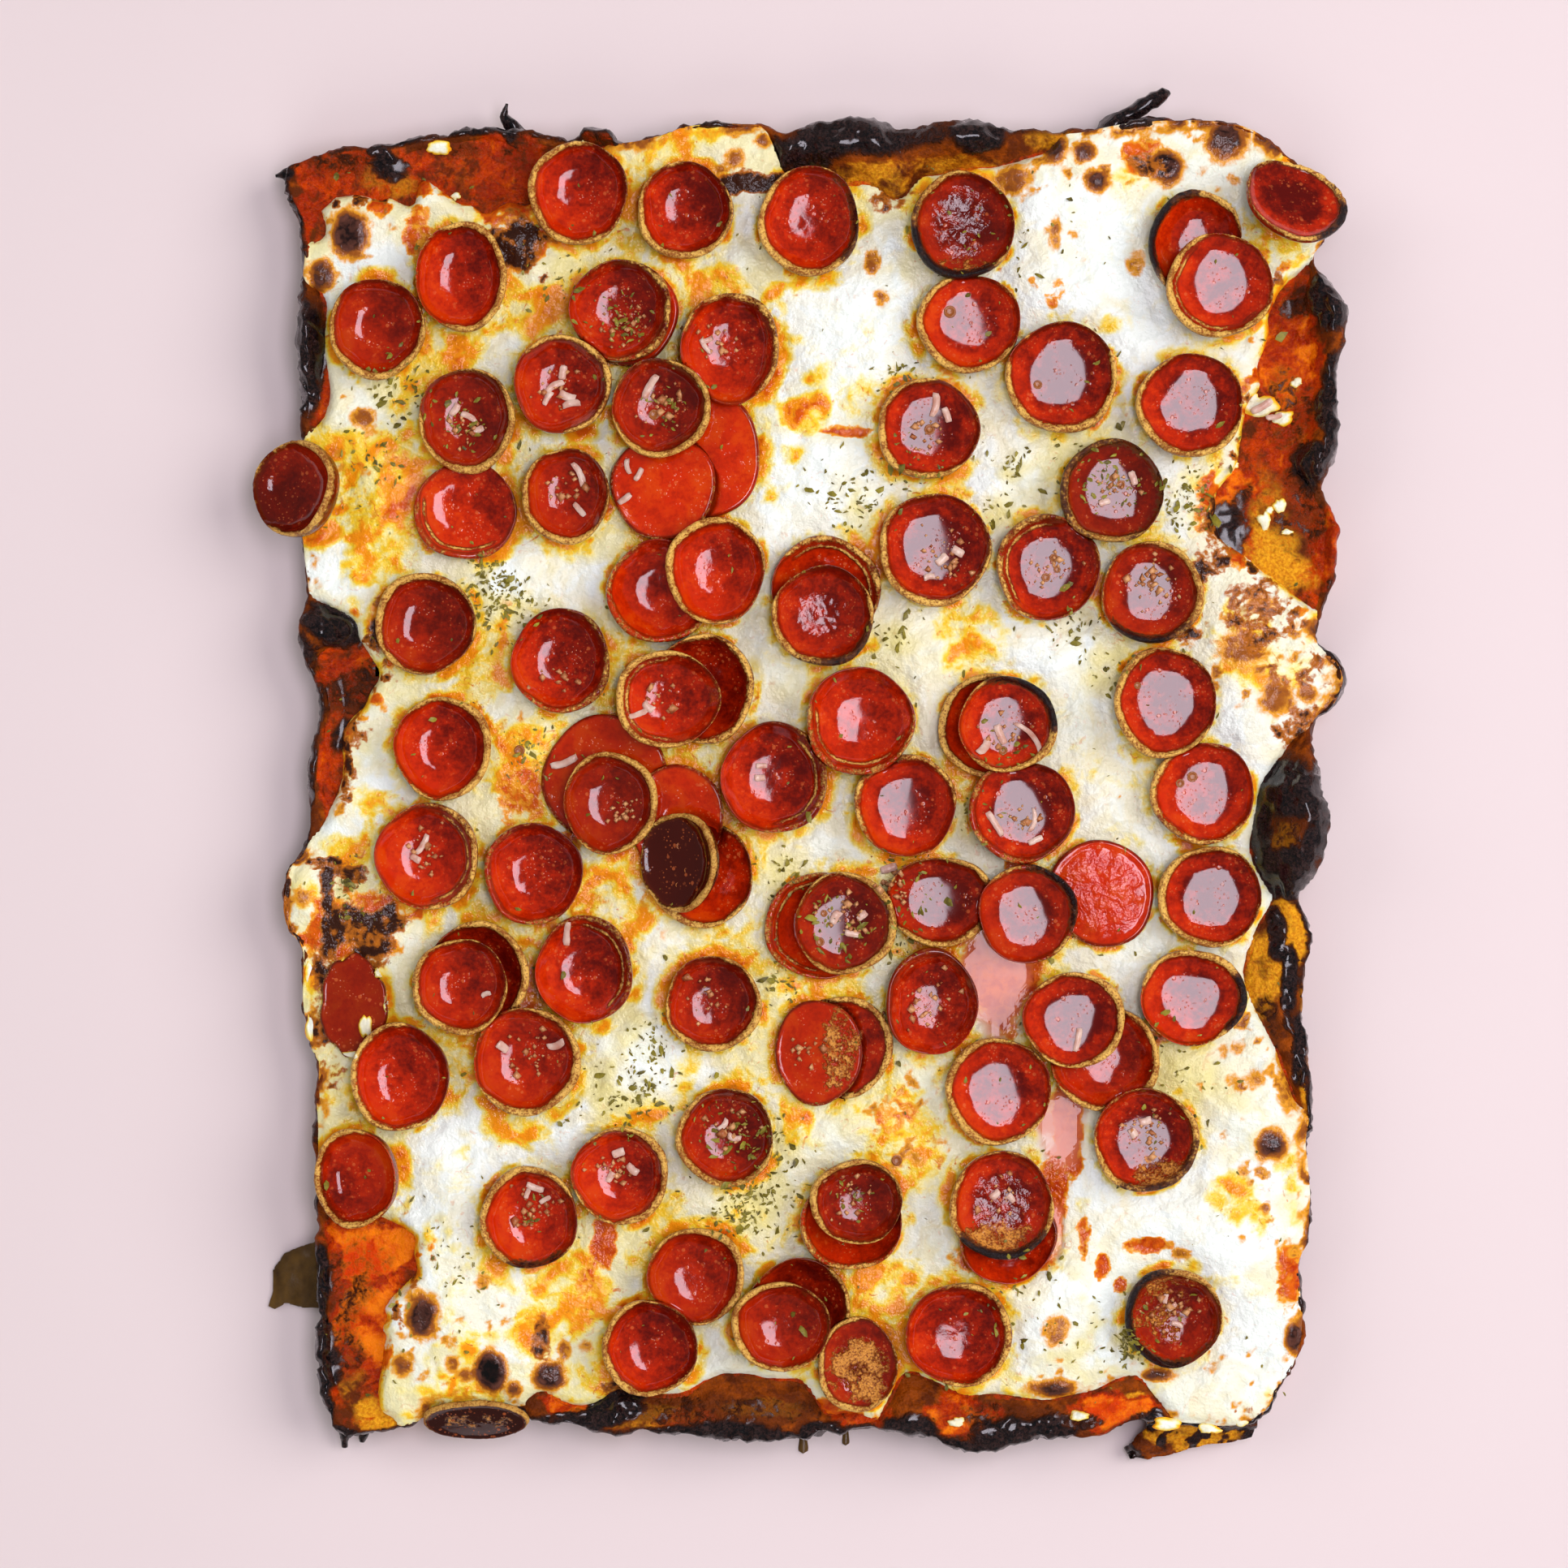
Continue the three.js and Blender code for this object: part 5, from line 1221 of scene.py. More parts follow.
def cheese_masks(x, y, depth, edge_depth, loose, masks):
    """Adds oil, herbs and browning between the listed spots, and a frayed edge."""
    milky = spots(x, y, MILKY, 0.5, 113)
    loose_edge = (1 - fade(0.2, 2.6, depth)) * loose * fade(-0.6, 0.5, cloud(x, y, 7.0, 120))
    frayed = (1 - fade(1.0, 8.0, depth)) * loose
    torn, singed = fade(0.15, 0.75, cloud(x, y, 6.0, 116)), fade(0.35, 0.95, cloud(x, y, 5.0, 117))
    clusters = [(column, row, spread, spread, 1) for column, row, spread, _ in HERBS]
    haze = (1 - fade(-10, 90, x)) * fade(-0.5, 0.6, cloud(x, y, 24.0, 109)) * 0.7
    rim_brown = (1 - fade(0.6, 6.0, edge_depth)) * fade(-0.4, 0.7, cloud(x, y, 5.0, 103)) * 0.75
    freckles = 0.5 * fade(1.0, 1.35, cloud(x, y, 5.0, 104)) * fade(0.0, 0.8, cloud(x, y, 40.0, 105))
    dotted = fade(0.45, 1.0, cloud(x, y, 3.6, 118, 2)) * spots(x, y, FRECKLED, 0.4, 119, 0.5, 1.3)
    return {
        "brown": np.maximum.reduce([masks["brown"], rim_brown, freckles, 0.5 * dotted]),
        "oil": np.maximum(cheese_oil(x, y, milky), 0.6 * loose_edge),
        "sauce": np.maximum(masks["sauce"], frayed * torn),
        "scorch": np.maximum(masks["scorch"], frayed * singed * 0.8),
        "pool": masks["pool"],
        "herbed": np.maximum(spots(x, y, clusters, 0.4, 108, 0.3, 1.6), haze) - 1.2 * milky,
    }


def cheese_piece(look):
    """The melted cheese, with its blisters, pools and loose edges."""
    s = edge_stations(CHEESE_STEP)
    loose = fade(1.5, 6.0, s["bare"])
    x, y, quads, depth, station = grid_sheet(cheese_outline(s, loose), CHEESE_CELL)
    masks = {
        "sauce": spots(x, y, SAUCE_THROUGH, 0.3, 93),
        "brown": spots(x, y, BLISTERS, 0.2, 94, 0.35, 1.55),
        "scorch": spots(x, y, SCORCH, 0.45, 95),
        "pool": spots(x, y, POOLS, 0.15, 96, 0.8, 1.2),
    }
    edge_depth, nearest, _ = depth_inside(x, y, s["place"])
    rim, crest = s["rim"][nearest], s["crest"][nearest]
    on_rim = rim_height(crest, np.clip(edge_depth / rim, 0, 1)) + 0.35
    on_rim = on_rim - np.clip(edge_depth - rim, 0, 4) * 0.9
    on_rim = on_rim + 0.25 * cloud(x, y, 3.0, 98, 2) * fade(0, 2, edge_depth)
    z = np.maximum(cheese_relief(x, y, depth, masks), on_rim)
    masks = cheese_masks(x, y, depth, edge_depth, loose[station], masks)
    points, quads, source = hem(np.stack([x, y, z], 1), quads, [(0.2, -0.5), (0.1, -1.2)])
    masks = {name: mask[source] for name, mask in masks.items()}
    piece = make_piece("melted_cheese", points, quads, masks)
    dress(piece, cheese_material(look), "cheese", "cheese")


def ground_height(x, y, s):
    """Height of the bare crust or sauce at each place."""
    depth, nearest, _ = depth_inside(x, y, s["place"])
    rim, crest = s["rim"][nearest], s["crest"][nearest]
    on_rim = rim_height(crest, np.clip(depth / rim, 0, 1))
    on_sauce = SAUCE_HEIGHT + (LIP_HEIGHT - SAUCE_HEIGHT) * (1 - fade(0, 5, depth - rim))
    return np.where(depth < rim, on_rim, on_sauce)


def cheese_bits_piece():
    """Bits of cheese that melted on the bare crust: low domes with uneven outlines."""
    s, domes, angle = edge_stations(COARSE_STEP), [], circle(26)
    share = np.linspace(1, 0, 8)[:, None] ** 0.8
    for number, (column, row, across, down) in enumerate(CHEESE_BITS):
        uneven = 1 + 0.35 * cloud(np.cos(angle) * 3 + number * 9, np.sin(angle) * 3, 2.2, 121, 2)
        x = sheet_x(column) + across * GRID * share * np.cos(angle) * uneven
        y = sheet_y(row) + down * GRID * share * np.sin(angle) * uneven
        dome = 0.95 * np.sqrt(1 - share ** 2) + 0.2 * cloud(x, y, 2.2, 122, 2) * (share < 0.95)
        bare, slab = ground_height(x.ravel(), y.ravel(), s).reshape(x.shape), top_height(x, y)
        ground = np.where(slab > cheese_height(x, y) + 0.3, slab, bare)
        domes.append(np.stack([x, y, ground + dome - 0.25 * (share > 0.99) + 0.3], -1))
    points, quads = join_grids(domes, closed=1)
    masks = dict.fromkeys(("brown", "sauce", "scorch", "pool", "herbed"), 0)
    masks["oil"] = np.broadcast_to(0.55 * share ** 3, (len(domes), len(share), len(angle)))
    piece = make_piece("cheese_bits", points, quads, masks)
    dress(piece, bpy.data.materials["melted_cheese"], "cheese")


# --- pepperoni -------------------------------------------------------------------------------

# Profiles of a slice, from the middle of its base outwards and over the top: share of its radius
# (on the lip: share of the lip's width, inwards), share of its depth and how golden it is there.
# They are the wall and the lip of a cup, and the whole of a flat slice with the row its top
# starts at. Then come the steps of a cup's inside, the spokes, a plain lip's width as a share of
# the radius, the row that a second lip raises, and the least oil that makes a pool.
WALL = [(0.0, 0.0, 0), (0.4, 0.0, 0), (0.64, 0.01, 0), (0.78, 0.07, 0), (0.89, 0.2, 0), (0.96, 0.38, 0),
        (0.995, 0.6, 0.05), (1.0, 0.78, 0.35), (0.99, 0.91, 0.85)]
LIP = [(0.25, 0.975, 1), (0.5, 1.01, 1), (0.78, 1.005, 1), (1.0, 0.965, 0.8)]
DISC = [(0.0, 0.0, 0), (0.5, 0.0, 0), (0.9, 0.0, 0), (0.975, 0.15, 0.1), (1.0, 0.45, 0.3),
        (0.995, 0.8, 0.35), (0.965, 0.99, 0.25), (0.93, 1.0, 0.1), (0.88, 0.95, 0), (0.8, 0.91, 0),
        (0.68, 0.93, 0), (0.54, 0.97, 0), (0.38, 1.0, 0), (0.2, 1.02, 0), (0.0, 1.03, 0)]
DISC_TOP = 7
INNER_STEPS = 15
SPOKES = 96
RIM_SHARE = 0.095
SECOND_RING = 14
POOL_LEAST = 0.12


def slice_profile(depth, pool, rim_share):
    """Shares of radius, heights, and masks of rim and oil, from the base round to the middle."""
    if depth <= FLAT:
        radius, height, rim = np.array(DISC).T
        return radius * np.ones_like(rim_share), height * depth, rim, np.zeros(len(DISC))
    wall, lip = np.array(WALL), np.array(LIP)
    q = np.linspace(1, 0, INNER_STEPS + 1)[1:] ** 0.85
    floor = (1.9 + pool * depth) / depth
    power, dish = (4.2, 0.045) if pool < POOL_LEAST else (7.5, 0.13)
    inner = floor + (0.965 - floor) * (dish * q ** 2 + (1 - dish) * q ** power)
    outer_radius = wall[:, 0] * np.ones_like(rim_share)
    radius = np.concatenate([outer_radius, 1 - rim_share * lip[:, 0], (1 - rim_share) * q], -1)
    height = np.concatenate([wall[:, 1], lip[:, 1], inner])
    rim = np.concatenate([wall[:, 2], lip[:, 2], [0.15], np.zeros(INNER_STEPS - 1)])
    oily = np.zeros(len(rim))
    if pool >= POOL_LEAST:
        oily[-INNER_STEPS:] = 1 - fade(0.5, 0.75, q)
    return radius, height * depth, rim, oily


def pressed(points, number):
    """Presses a slice flat where a higher slice of the same pile lies on it."""
    node, lift = SLICES[number][0], SLICES[number][5].get("up", 0)
    for row in SLICES:
        traits = row[5]
        if row[0] != node or traits.get("up", 0) <= lift:
            continue
        radius, height, _, _ = slice_profile(traits.get("depth", CUP), 0, np.array([RIM_SHARE]))
        outer = slice(0, radius.argmax() + 1)
        share = slice_share(points[:, 0], points[:, 1], row)
        ceiling = np.interp(share, radius[outer], height[outer]) + np.maximum(share - 1.0, 0) * 250
        ceiling = ceiling + SLICE_SEAT + traits["up"] * STACK_STEP - 0.25
        points[:, 2] = np.minimum(points[:, 2], ceiling)
    return points


def slice_surface(number):
    """A slice before it is laid down: points of each spoke, shares of radius and depth, masks."""
    _, column, _, across, down, traits = SLICES[number]
    depth, a, b = traits.get("depth", CUP), across * GRID * SLICE_FIT, down * GRID * SLICE_FIT
    flat = depth <= FLAT
    angle = circle(SPOKES)[:, None]
    facing = angle + math.radians(traits.get("turn", 0))
    thick_side = 0.5 + 0.5 * np.cos(facing - math.radians(traits.get("thick", number * 137)))
    thick_side = thick_side + 0.13 * np.sin(4 * angle + number) + 0.07 * np.sin(9 * angle - number)
    thick_side = np.clip(thick_side, 0, 1)
    rim_share = 0.034 + 0.088 * thick_side ** 1.3
    radius, height, rim, oily = slice_profile(depth, traits.get("pool", 0.0), rim_share)
    rim = rim * (0.3 + 0.7 * fade(0.0, 0.6, thick_side)) * traits.get("gold", 1.0)
    if "double" in traits:
        height[SECOND_RING] += 0.25
        rim[:, SECOND_RING] = 0.6 * fade(0.35, 0.8, thick_side[:, 0])
    share = height / depth
    curl = np.sin(2 * angle + number * 1.7) + 0.7 * np.sin(3 * angle + number * 2.9)
    rise = np.clip(share, 0, 1) ** 1.5 * np.clip(radius * 1.6 - 0.6, 0, 1)
    uneven = 0.018 * np.sin(3 * angle + number * 2.3) + 0.012 * np.sin(5 * angle + number)
    ragged = np.sin(4 * angle + 1) * np.sin(2 * angle) + 0.4 * np.sin(11 * angle)
    uneven = uneven + traits.get("ragged", 0) * ragged
    reach = radius * (1 + uneven * np.clip(radius * 1.5 - 0.5, 0, 1))
    x, y = a * reach * np.cos(angle), b * reach * np.sin(angle)
    z = height + (0.25 if flat else RIM_WAVE) * curl * rise
    grain = rim * 0.2 * cloud(x + number * 40, y + z, 1.1, 111, 2)
    x, y, z = x * (1 + grain / a), y * (1 + grain / b), z + grain
    crackled = traits.get("crackled", 0.15 if flat else 0.0) * (height > 0.5)
    crackled = crackled * (1 - fade(0.7, 0.92, radius))
    dents = cloud(x + number * 23, y, 3.0, 112, 2) * (height > 0.5) * (radius < 0.86)
    folds = 1 - 2 * np.abs(cloud(x + number * 31, y, 3.4, 123, 2))
    z = z + dents * (0.05 if flat else 0.035) * (1 - rim) * (1 - oily) + 0.3 * folds * crackled
    direction, spread, strength = traits.get("burn", (0, 1, 0))
    away = np.abs((np.degrees(facing) - direction + 180) % 360 - 180)
    away = away + 9 * np.sin(7 * angle + number)
    charred = strength * (1 - fade(spread * 0.3, spread * 1.25, away))
    # Painted light and shade: the inside is lighter on the lower left and darker on the upper right, more so on
    # the left half, and painted lighter towards its walls where they shade it. The outside wall is darker
    # towards its foot.
    lit_side = np.clip(-0.8 * x / a - 0.6 * y / b, -1, 1)
    painted_shade_contrast = 0.46 if column < MIDDLE_COLUMN else 0.3
    bowl_tone_and_painted_light = 0.42 + 0.12 * np.sin(number * 4.7) + 0.16 * fade(0.25, 0.85, radius) + painted_shade_contrast * lit_side
    inner = np.arange(len(height)) >= (DISC_TOP if flat else len(WALL))
    masks = {
        "rim": rim,
        "burn": charred * fade(0.35, 0.75, share) * fade(0.8, 0.9, radius),
        "meat_tone_and_painted_light": np.where(inner, 0.9 if flat else bowl_tone_and_painted_light, 0.6 * fade(0.1, 1.0, share)),
        "cook": traits.get("cook", 0.0),
        "pool": oily,
        "crackled": crackled,
    }
    masks = {name: np.broadcast_to(mask, radius.shape).ravel() for name, mask in masks.items()}
    return np.stack([x, y, z], -1), masks


def slice_shape(number):
    """Points, quads and masks of one slice in its place."""
    _, column, line, across, _, traits = SLICES[number]
    turn, tilt = (math.radians(traits.get(key, 0)) for key in ("turn", "tilt"))
    points, masks = slice_surface(number)
    quads = grid_quads(*points.shape[:2], closed=0)
    lean = np.array(Matrix.Rotation(turn, 3, "Z") @ Matrix.Rotation(tilt, 3, "Y"))
    lift = across * GRID * SLICE_FIT * CUP_BASE * math.sin(tilt)
    lift += SLICE_SEAT + traits.get("up", 0) * STACK_STEP
    place = np.array([float(sheet_x(column)), float(sheet_y(line)), lift])
    points = pressed(points.reshape(-1, 3) @ lean.T + place, number)
    x, y, z = points.T
    masks["crusted"] = spots(x, y, CRUSTED, 0.3, 114) * (z > SLICE_SEAT + 0.5)
    return points, quads, masks


def pepperoni_pieces(look):
    """One piece of slices for each solid."""
    material = pepperoni_material(look)
    for node in dict.fromkeys(row[0] for row in SLICES):
        shapes = [slice_shape(k) for k, row in enumerate(SLICES) if row[0] == node]
        starts = np.cumsum([0] + [len(points) for points, _, _ in shapes])
        points = np.concatenate([points for points, _, _ in shapes])
        quads = np.concatenate([quads + start for (_, quads, _), start in zip(shapes, starts)])
        masks = {name: np.concatenate([masks[name] for _, _, masks in shapes]) for name in shapes[0][2]}
        piece = make_piece(f"slices_{node}", points, quads, masks)
        dress(piece, material, "pepperoni", f"pepperoni_{node}")


def top_height(x, y):
    """Height of whatever lies on top at each place: cheese or slice."""
    top = cheese_height(x, y)
    for row in SLICES:
        _, column, line, across, _, traits = row
        depth, pool = traits.get("depth", CUP), traits.get("pool", 0.0)
        radius, height, _, _ = slice_profile(depth, pool, np.array([RIM_SHARE]))
        share = slice_share(x, y, row)
        inner = slice(np.argmax(height), None)
        level = np.interp(share, radius[inner][::-1], height[inner][::-1])
        turn, lean = (math.radians(traits.get(key, 0)) for key in ("turn", "tilt"))
        along = (x - sheet_x(column)) * math.cos(turn) + (y - sheet_y(line)) * math.sin(turn)
        level = level * math.cos(lean) + (across * GRID * CUP_BASE - along) * math.sin(lean)
        level = level + SLICE_SEAT + traits.get("up", 0) * STACK_STEP
        top = np.where(share < 0.96, np.maximum(top, level), top)
    return top


# --- small toppings --------------------------------------------------------------------------


def herb_places(rng):
    """Where the herb flakes lie: in loose clusters, and a few everywhere."""
    places = []
    for column, row, spread, count in HERBS:
        spread = spread * GRID * 0.6
        x, y = (middle + rng.normal(0, spread, count) for middle in (sheet_x(column), sheet_y(row)))
        places.append([x, y])
    left, right, top, bottom = STRAY_AREA
    x = rng.uniform(sheet_x(left), sheet_x(right), STRAY_HERBS)
    places.append([x, rng.uniform(sheet_y(bottom), sheet_y(top), STRAY_HERBS)])
    return np.concatenate(places, 1)


def herb_piece():
    """Dried oregano: small curled flakes, each a fan of six faces round a raised middle."""
    rng = np.random.default_rng(201)
    x, y = herb_places(rng)
    count = len(x)
    size = np.minimum(rng.gamma(2.4, 0.24, count) + 0.22, 2.2)[:, None, None]
    turn, narrow = rng.uniform(0, 2 * math.pi, count), rng.uniform(0.25, 0.7, count)
    tilt = rng.normal(0, 0.35, (count, 2))[:, None]
    base = np.array([[-1, 0, 0], [-0.3, -0.8, 0.1], [0.5, -0.7, 0.12], [1, 0.05, 0], [0.3, 0.75, 0.1],
                     [-0.5, 0.65, 0.12], [0, 0, 0.38]])
    flake = base * size * np.stack([np.ones(count), narrow, np.full(count, 0.9)], 1)[:, None]
    along, across, up = np.moveaxis(flake + rng.normal(0, 0.1, flake.shape) * size, -1, 0)
    up = up + (along * tilt[..., 0] + across * tilt[..., 1])
    cos, sin = np.cos(turn)[:, None], np.sin(turn)[:, None]
    points = np.stack([along * cos - across * sin, along * sin + across * cos, up], -1)
    points += np.stack([x, y, top_height(x, y) + 0.12], 1)[:, None]
    fan = np.array([[6, k, (k + 1) % 6] for k in range(6)])
    tone = np.repeat(rng.beta(2, 2.4, count), len(base))
    piece = make_piece("herb_flakes", points, repeat_faces(fan, count, len(base)), {"tone": tone})
    dark, light = (0.045, 0.032, 0.005), (0.42, 0.35, 0.035)
    dress(piece, plain_food_material("dried_herbs", dark, light, 0.4, 900.0), "cheese")


def shred_piece():
    """Shreds of hard cheese, softened, lying in and across the cups."""
    rng, t, strips = np.random.default_rng(202), np.linspace(-0.5, 0.5, 9), []
    box_x = np.array([1, 0.86, 0, -0.86, -1, -0.86, 0, 0.86])[:, None]
    box_z = np.array([0, 1, 1, 1, 0, -1, -1, -1])[:, None] * np.array([0, 0, 0.3])
    for column, row, direction, length in SHREDS:
        turn = math.radians(direction)
        along = t * length * GRID * 0.85
        across = rng.normal(0, 0.05) * length * GRID * (0.25 - t * t) * 4
        x = sheet_x(column) + along * math.cos(turn) - across * math.sin(turn)
        y = sheet_y(row) + along * math.sin(turn) + across * math.cos(turn)
        z = np.convolve(np.pad(top_height(x, y), 2, mode="edge"), np.ones(5) / 5, "valid") + 0.3
        width = rng.uniform(0.7, 1.25) * (1 - (2 * t) ** 10 * 0.25 + 0.2 * t * rng.uniform(-1, 1))
        side = np.array([-math.sin(turn), math.cos(turn), 0])
        strip = np.stack([x, y, z], 1)[:, None] + width[:, None, None] * (side * box_x + box_z)
        strips.append(strip + rng.normal(0, 0.06, strip.shape))
    near_end = np.array([(3, 2, 1, 0), (5, 4, 3, 0), (7, 6, 5, 0)])
    far_end = near_end[:, ::-1] + (len(t) - 1) * len(box_x)
    points, quads = join_grids(strips, closed=1, caps=(*near_end, *far_end))
    tone = 0.5 + 0.5 * cloud(points[:, 0], points[:, 1], 2.0, 203, 2)
    piece = make_piece("cheese_shreds", points, quads, {"tone": tone})
    dark, light = (0.55, 0.24, 0.17), (0.80, 0.62, 0.52)
    dress(piece, plain_food_material("hard_cheese", dark, light, 0.12, 500.0), "cheese")


def crumb_piece():
    """Crumbs: small faceted grains lying in the cups."""
    rng = np.random.default_rng(204)
    x, y = (np.concatenate([place(row[axis]) + rng.normal(0, row[2] * GRID * 0.55, row[3]) for row in CRUMBS])
            for axis, place in enumerate((sheet_x, sheet_y)))
    count = len(x)
    size = np.minimum(rng.gamma(2.4, 0.2, count) + 0.2, 1.5)
    wide = size[:, None, None]
    base = np.array([[1, 0, 0], [0, 1, 0], [-1, 0, 0], [0, -1, 0], [0, 0, 0.7], [0, 0, -0.7]])
    grains = base * wide + rng.normal(0, 0.22, (count, *base.shape)) * wide
    grains += np.stack([x, y, top_height(x, y) + size * 0.3], 1)[:, None]
    fan = np.array([[4, k, (k + 1) % 4] for k in range(4)] + [[5, (k + 1) % 4, k] for k in range(4)])
    tone = np.repeat(rng.beta(1.6, 1.6, count), len(base))
    piece = make_piece("browned_crumbs", grains, repeat_faces(fan, count, len(base)), {"tone": tone})
    dark, light = (0.30, 0.05, 0.008), (0.84, 0.46, 0.20)
    dress(piece, plain_food_material("browned_crumbs", dark, light, 0.2, 900.0), "pepperoni")


def bubble_piece():
    """Small bubbles in the oil: domes with a thick brown foot."""
    angle, domes = circle(16), []
    share = np.array([1.15, 1.0, 0.75, 0.4, 0.0])[:, None]
    rise = np.array([-0.1, 0.28, 0.12, 0.06, 0.05])[:, None]
    for column, row, size in BUBBLES:
        x, y, radius = sheet_x(column), sheet_y(row), size * GRID
        level = top_height(np.array([x]), np.array([y]))
        dome = (x + radius * share * np.cos(angle), y + radius * share * np.sin(angle), level + radius * rise)
        domes.append(np.stack(np.broadcast_arrays(*dome), -1))
    piece = make_piece("oil_bubbles", *join_grids(domes, closed=1), {"tone": 0.5})
    dark, light = (0.20, 0.05, 0.012), (0.42, 0.14, 0.03)
    dress(piece, plain_food_material("oil_bubbles", dark, light, 0.08, 700.0), "pepperoni")


def drip_piece():
    """Two drips of oil that ran out from under the crust's lower edge."""
    t, across, sheets = np.linspace(0, 1, 12)[:, None], np.linspace(-1, 1, 9), []
    for column, row, width, length in DRIPS:
        half = width * GRID * (0.55 + 0.6 * t ** 3) * np.sqrt(np.clip(1 - t ** 8, 0, 1)) + 0.02
        x, y = sheet_x(column) + half * across, sheet_y(row) - t * length * GRID
        z = 0.05 + 0.9 * np.sqrt(1 - across ** 2) * (0.5 + 0.5 * t)
        sheets.append(np.stack(np.broadcast_arrays(x, y, z), -1))
    piece = make_piece("oil_drips", *join_grids(sheets), {"tone": 0.6})
    dress(piece, bpy.data.materials["dried_oil"], "crust")


# --- stage -----------------------------------------------------------------------------------


def area_light(name, place, target, size, strength, colour, mirrored=True):
    """A rectangular light at a place, turned to its target."""
    data = bpy.data.lights.new(name, "AREA")
    data.shape, (data.size, data.size_y) = "RECTANGLE", size
    data.energy, data.color = strength, colour
    light = bpy.data.objects.new(name, data)
    light.location = place
    light.rotation_euler = (Vector(target) - Vector(place)).to_track_quat("-Z", "Y").to_euler()
    light.visible_glossy = mirrored
    bpy.context.scene.collection.objects.link(light)


def build_floor(stage):
    """The wide, pale floor."""
    corners = [(x * FLOOR_REACH, y * FLOOR_REACH, 0) for x, y in ((-1, -1), (1, -1), (1, 1), (-1, 1))]
    floor = make_piece("pale_floor", np.array(corners, float), [[0, 1, 2, 3]])
    material, tree, shader = new_material("pale_floor")
    light = tuple(stage.floor_colour)
    shade = tuple(part * 0.985 for part in light)
    feed(tree, shader["Base Color"], blend_colour(tree, mottle(tree, 6.0, 0.2, 0.8, detail=2.0), shade, light))
    shader["Roughness"].default_value = 0.7
    floor.data.materials.append(material)


def build_lights(stage):
    """Even light from all round, a panel beside the camera, a window and two fill lights."""
    world = bpy.data.worlds.new("soft_room")
    world.use_nodes = True
    background = world.node_tree.nodes["Background"].inputs
    background["Color"].default_value = (1.0, 0.98, 0.98, 1)
    background["Strength"].default_value = stage.room_light
    bpy.context.scene.world = world
    above, food, wide = (0.25, 0.05), (0, 0, FOOD_MIDDLE_HEIGHT), (2.6, 2.2)
    area_light("overhead_panel", (*above, 1.5), (*above, 0), (0.40, 0.80), stage.panel_watts, (0.94, 0.88, 1.0))
    for name, place, watts, colour in (
            ("right_window", (2.4, 0.6, 2.1), stage.window_watts, (1.0, 0.985, 0.96)),
            ("left_fill", (-2.4, 1.2, 1.9), stage.fill_watts, (0.97, 0.98, 1.0)),
            ("near_fill", (-0.3, -2.6, 1.9), stage.fill_watts, (1.0, 0.99, 0.97))):
        area_light(name, place, food, wide, watts, colour, mirrored=False)


def build_camera(stage):
    """The camera straight above the middle of the picture, and plain tones."""
    scene, middle = bpy.context.scene, PHOTO_SIDE / 2
    camera = bpy.data.cameras.new("camera")
    camera.sensor_width = 36
    field = PHOTO_SIDE * GRID * MILLIMETRE
    camera.lens = camera.sensor_width * (stage.camera_height - FOOD_MIDDLE_HEIGHT) / field
    view = bpy.data.objects.new("camera", camera)
    x, y = (float(place(middle)) * MILLIMETRE for place in (sheet_x, sheet_y))
    view.location = (x, y, stage.camera_height)
    scene.collection.objects.link(view)
    scene.camera = view
    scene.view_settings.view_transform = "Standard"
    scene.view_settings.look = "None"


def build_stage(stage):
    """Everything round the food: floor, lights and camera."""
    build_floor(stage)
    build_lights(stage)
    build_camera(stage)


def colour_prop(name, description, default):
    """A colour for the panel."""
    return bpy.props.FloatVectorProperty(name=name, description=description, default=default, size=3,
                                         subtype="COLOR", min=0.0, max=1.0)


def watts_prop(name, description, default):
    """The power of a light for the panel."""
    return bpy.props.FloatProperty(name=name, description=description, default=default,
                                   min=0.0, max=500.0, unit="POWER")


class PizzaLook(bpy.types.PropertyGroup):
    """Colours of the food."""

    dough_brown: colour_prop("Brown dough", "Dark tone of the baked dough", (0.11, 0.020, 0.003))
    dough_golden: colour_prop("Golden dough", "Light tone of the baked dough", (0.32, 0.060, 0.002))
    sauce_red: colour_prop("Red sauce", "Deep tone of the cooked sauce", (0.32, 0.016, 0.002))
    sauce_orange: colour_prop("Orange sauce", "Light tone of the cooked sauce", (0.53, 0.042, 0.001))
    cheese_cream: colour_prop("Cream cheese", "Warm tone of the cheese", (0.88, 0.84, 0.62))
    cheese_white: colour_prop("White cheese", "Pale tone of the cheese", (0.90, 0.955, 0.90))
    oil_yellow: colour_prop("Yellow oil", "Cheese with a little oil in it", (0.94, 0.62, 0.03))
    oil_orange: colour_prop("Orange oil", "Cheese soaked with oil", (0.94, 0.30, 0.006))
    # The dark and bright meat tones also carry the painted light and shade of each slice.
    meat_dark_shaded: colour_prop("Dark meat", "Pepperoni near its rim", (0.10, 0.0018, 0.0006))
    meat_bright_lit: colour_prop("Bright meat", "Pepperoni at its middle", (0.62, 0.023, 0.001))


class PizzaStage(bpy.types.PropertyGroup):
    """Floor, lights and camera."""

    floor_colour: colour_prop("Floor", "Colour of the plain floor", (0.80, 0.68, 0.69))
    room_light: bpy.props.FloatProperty(
        name="Room light", description="Even light from all round", default=0.12, min=0.0, max=5.0)
    panel_watts: watts_prop("Overhead panel", "Power of the panel beside the camera", 8.6)
    window_watts: watts_prop("Window", "Power of the large light at the right", 82.0)
    fill_watts: watts_prop("Fill lights", "Power of each of the two fill lights", 30.0)
    camera_height: bpy.props.FloatProperty(
        name="Camera height", description="Height of the camera over the floor",
        default=1.5, min=0.6, max=5.0, unit="LENGTH", subtype="DISTANCE")


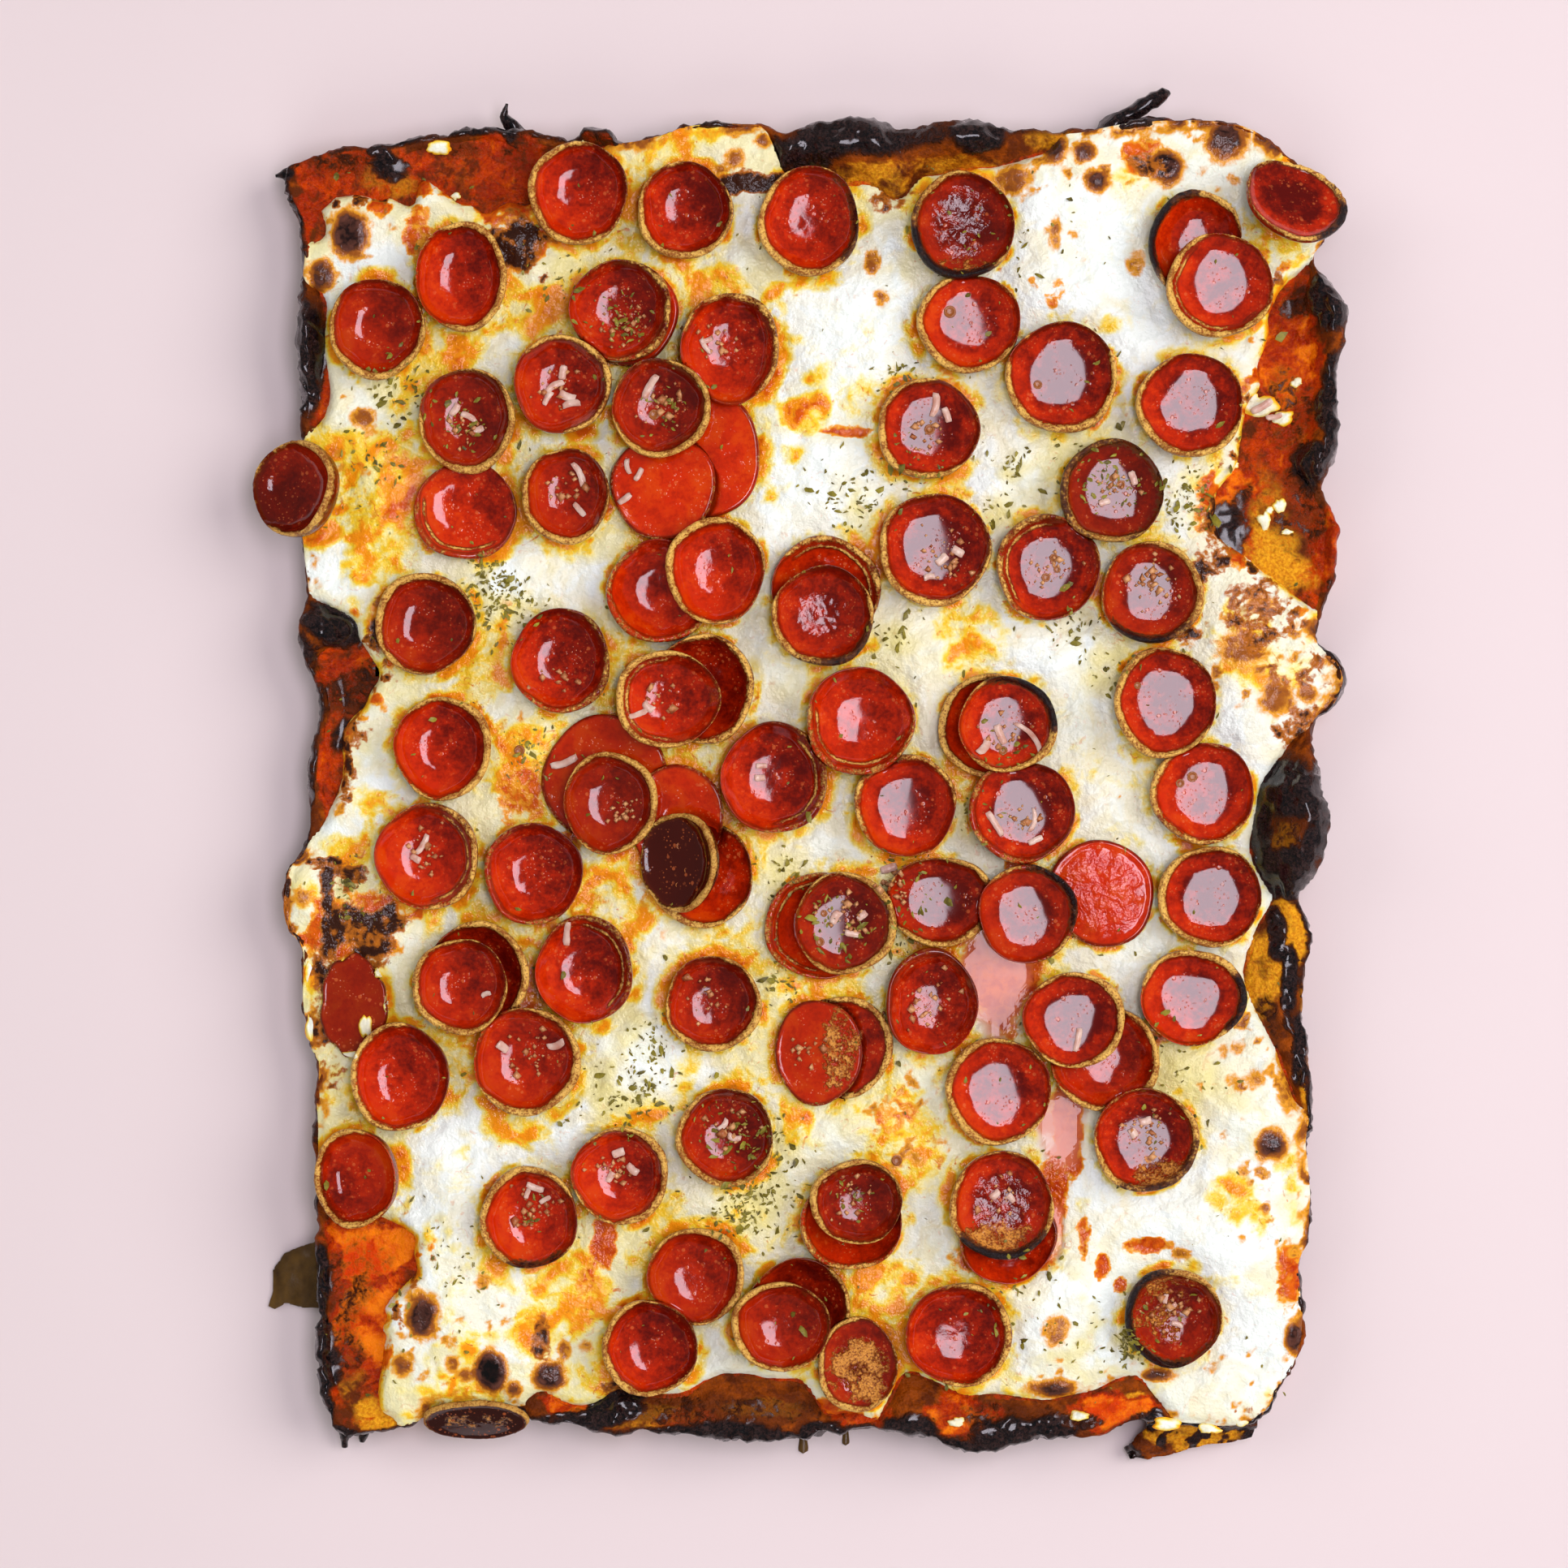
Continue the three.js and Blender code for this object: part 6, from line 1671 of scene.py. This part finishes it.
class PIZZA_OT_crust(bpy.types.Operator):
    """Build the crust with its rim, underside, flap, flake and wisps"""

    bl_idname = "pizza.crust"
    bl_label = "Crust"

    def execute(self, context):
        look = context.scene.pizza_look
        crust_piece(look)
        underside_piece(look)
        flap_piece()
        flake_piece()
        wisp_piece()
        return {"FINISHED"}


class PIZZA_OT_sauce(bpy.types.Operator):
    """Spread the cooked sauce"""

    bl_idname = "pizza.sauce"
    bl_label = "Sauce"

    def execute(self, context):
        sauce_piece(context.scene.pizza_look)
        return {"FINISHED"}


class PIZZA_OT_cheese(bpy.types.Operator):
    """Melt the cheese over the sauce"""

    bl_idname = "pizza.cheese"
    bl_label = "Cheese"

    def execute(self, context):
        cheese_piece(context.scene.pizza_look)
        cheese_bits_piece()
        return {"FINISHED"}


class PIZZA_OT_pepperoni(bpy.types.Operator):
    """Lay out the curled pepperoni slices"""

    bl_idname = "pizza.pepperoni"
    bl_label = "Pepperoni"

    def execute(self, context):
        pepperoni_pieces(context.scene.pizza_look)
        return {"FINISHED"}


class PIZZA_OT_toppings(bpy.types.Operator):
    """Scatter herbs, cheese shreds, crumbs, bubbles and oil drips"""

    bl_idname = "pizza.toppings"
    bl_label = "Small toppings"

    def execute(self, context):
        herb_piece()
        shred_piece()
        crumb_piece()
        bubble_piece()
        drip_piece()
        return {"FINISHED"}


class PIZZA_OT_stage(bpy.types.Operator):
    """Set up the floor, the lights and the camera"""

    bl_idname = "pizza.stage"
    bl_label = "Stage"

    def execute(self, context):
        build_stage(context.scene.pizza_stage)
        return {"FINISHED"}


class PIZZA_PT_panel(bpy.types.Panel):
    """Sizes, colours and steps of the pizza"""

    bl_idname = "PIZZA_PT_panel"
    bl_label = "Pepperoni Pizza"
    bl_space_type = "VIEW_3D"
    bl_region_type = "UI"
    bl_category = "Pizza"

    def draw(self, context):
        for settings in (context.scene.pizza_look, context.scene.pizza_stage):
            for name in settings.__annotations__:
                self.layout.prop(settings, name)
        for operator in STEPS:
            self.layout.operator(operator.bl_idname)


STEPS = (PIZZA_OT_stage, PIZZA_OT_crust, PIZZA_OT_sauce, PIZZA_OT_cheese, PIZZA_OT_pepperoni, PIZZA_OT_toppings)
CLASSES = (PizzaLook, PizzaStage, *STEPS, PIZZA_PT_panel)


def register():
    """Adds the classes and the scene's settings."""
    for kind in CLASSES:
        bpy.utils.register_class(kind)
    bpy.types.Scene.pizza_look = bpy.props.PointerProperty(type=PizzaLook)
    bpy.types.Scene.pizza_stage = bpy.props.PointerProperty(type=PizzaStage)


def unregister():
    """Takes the settings and the classes away again."""
    del bpy.types.Scene.pizza_look
    del bpy.types.Scene.pizza_stage
    for kind in reversed(CLASSES):
        bpy.utils.unregister_class(kind)


def main():
    """Builds the stage and the pizza."""
    register()
    bpy.ops.pizza.stage()
    bpy.ops.pizza.crust()
    bpy.ops.pizza.sauce()
    bpy.ops.pizza.cheese()
    bpy.ops.pizza.pepperoni()
    bpy.ops.pizza.toppings()


if __name__ == "__main__":
    main()
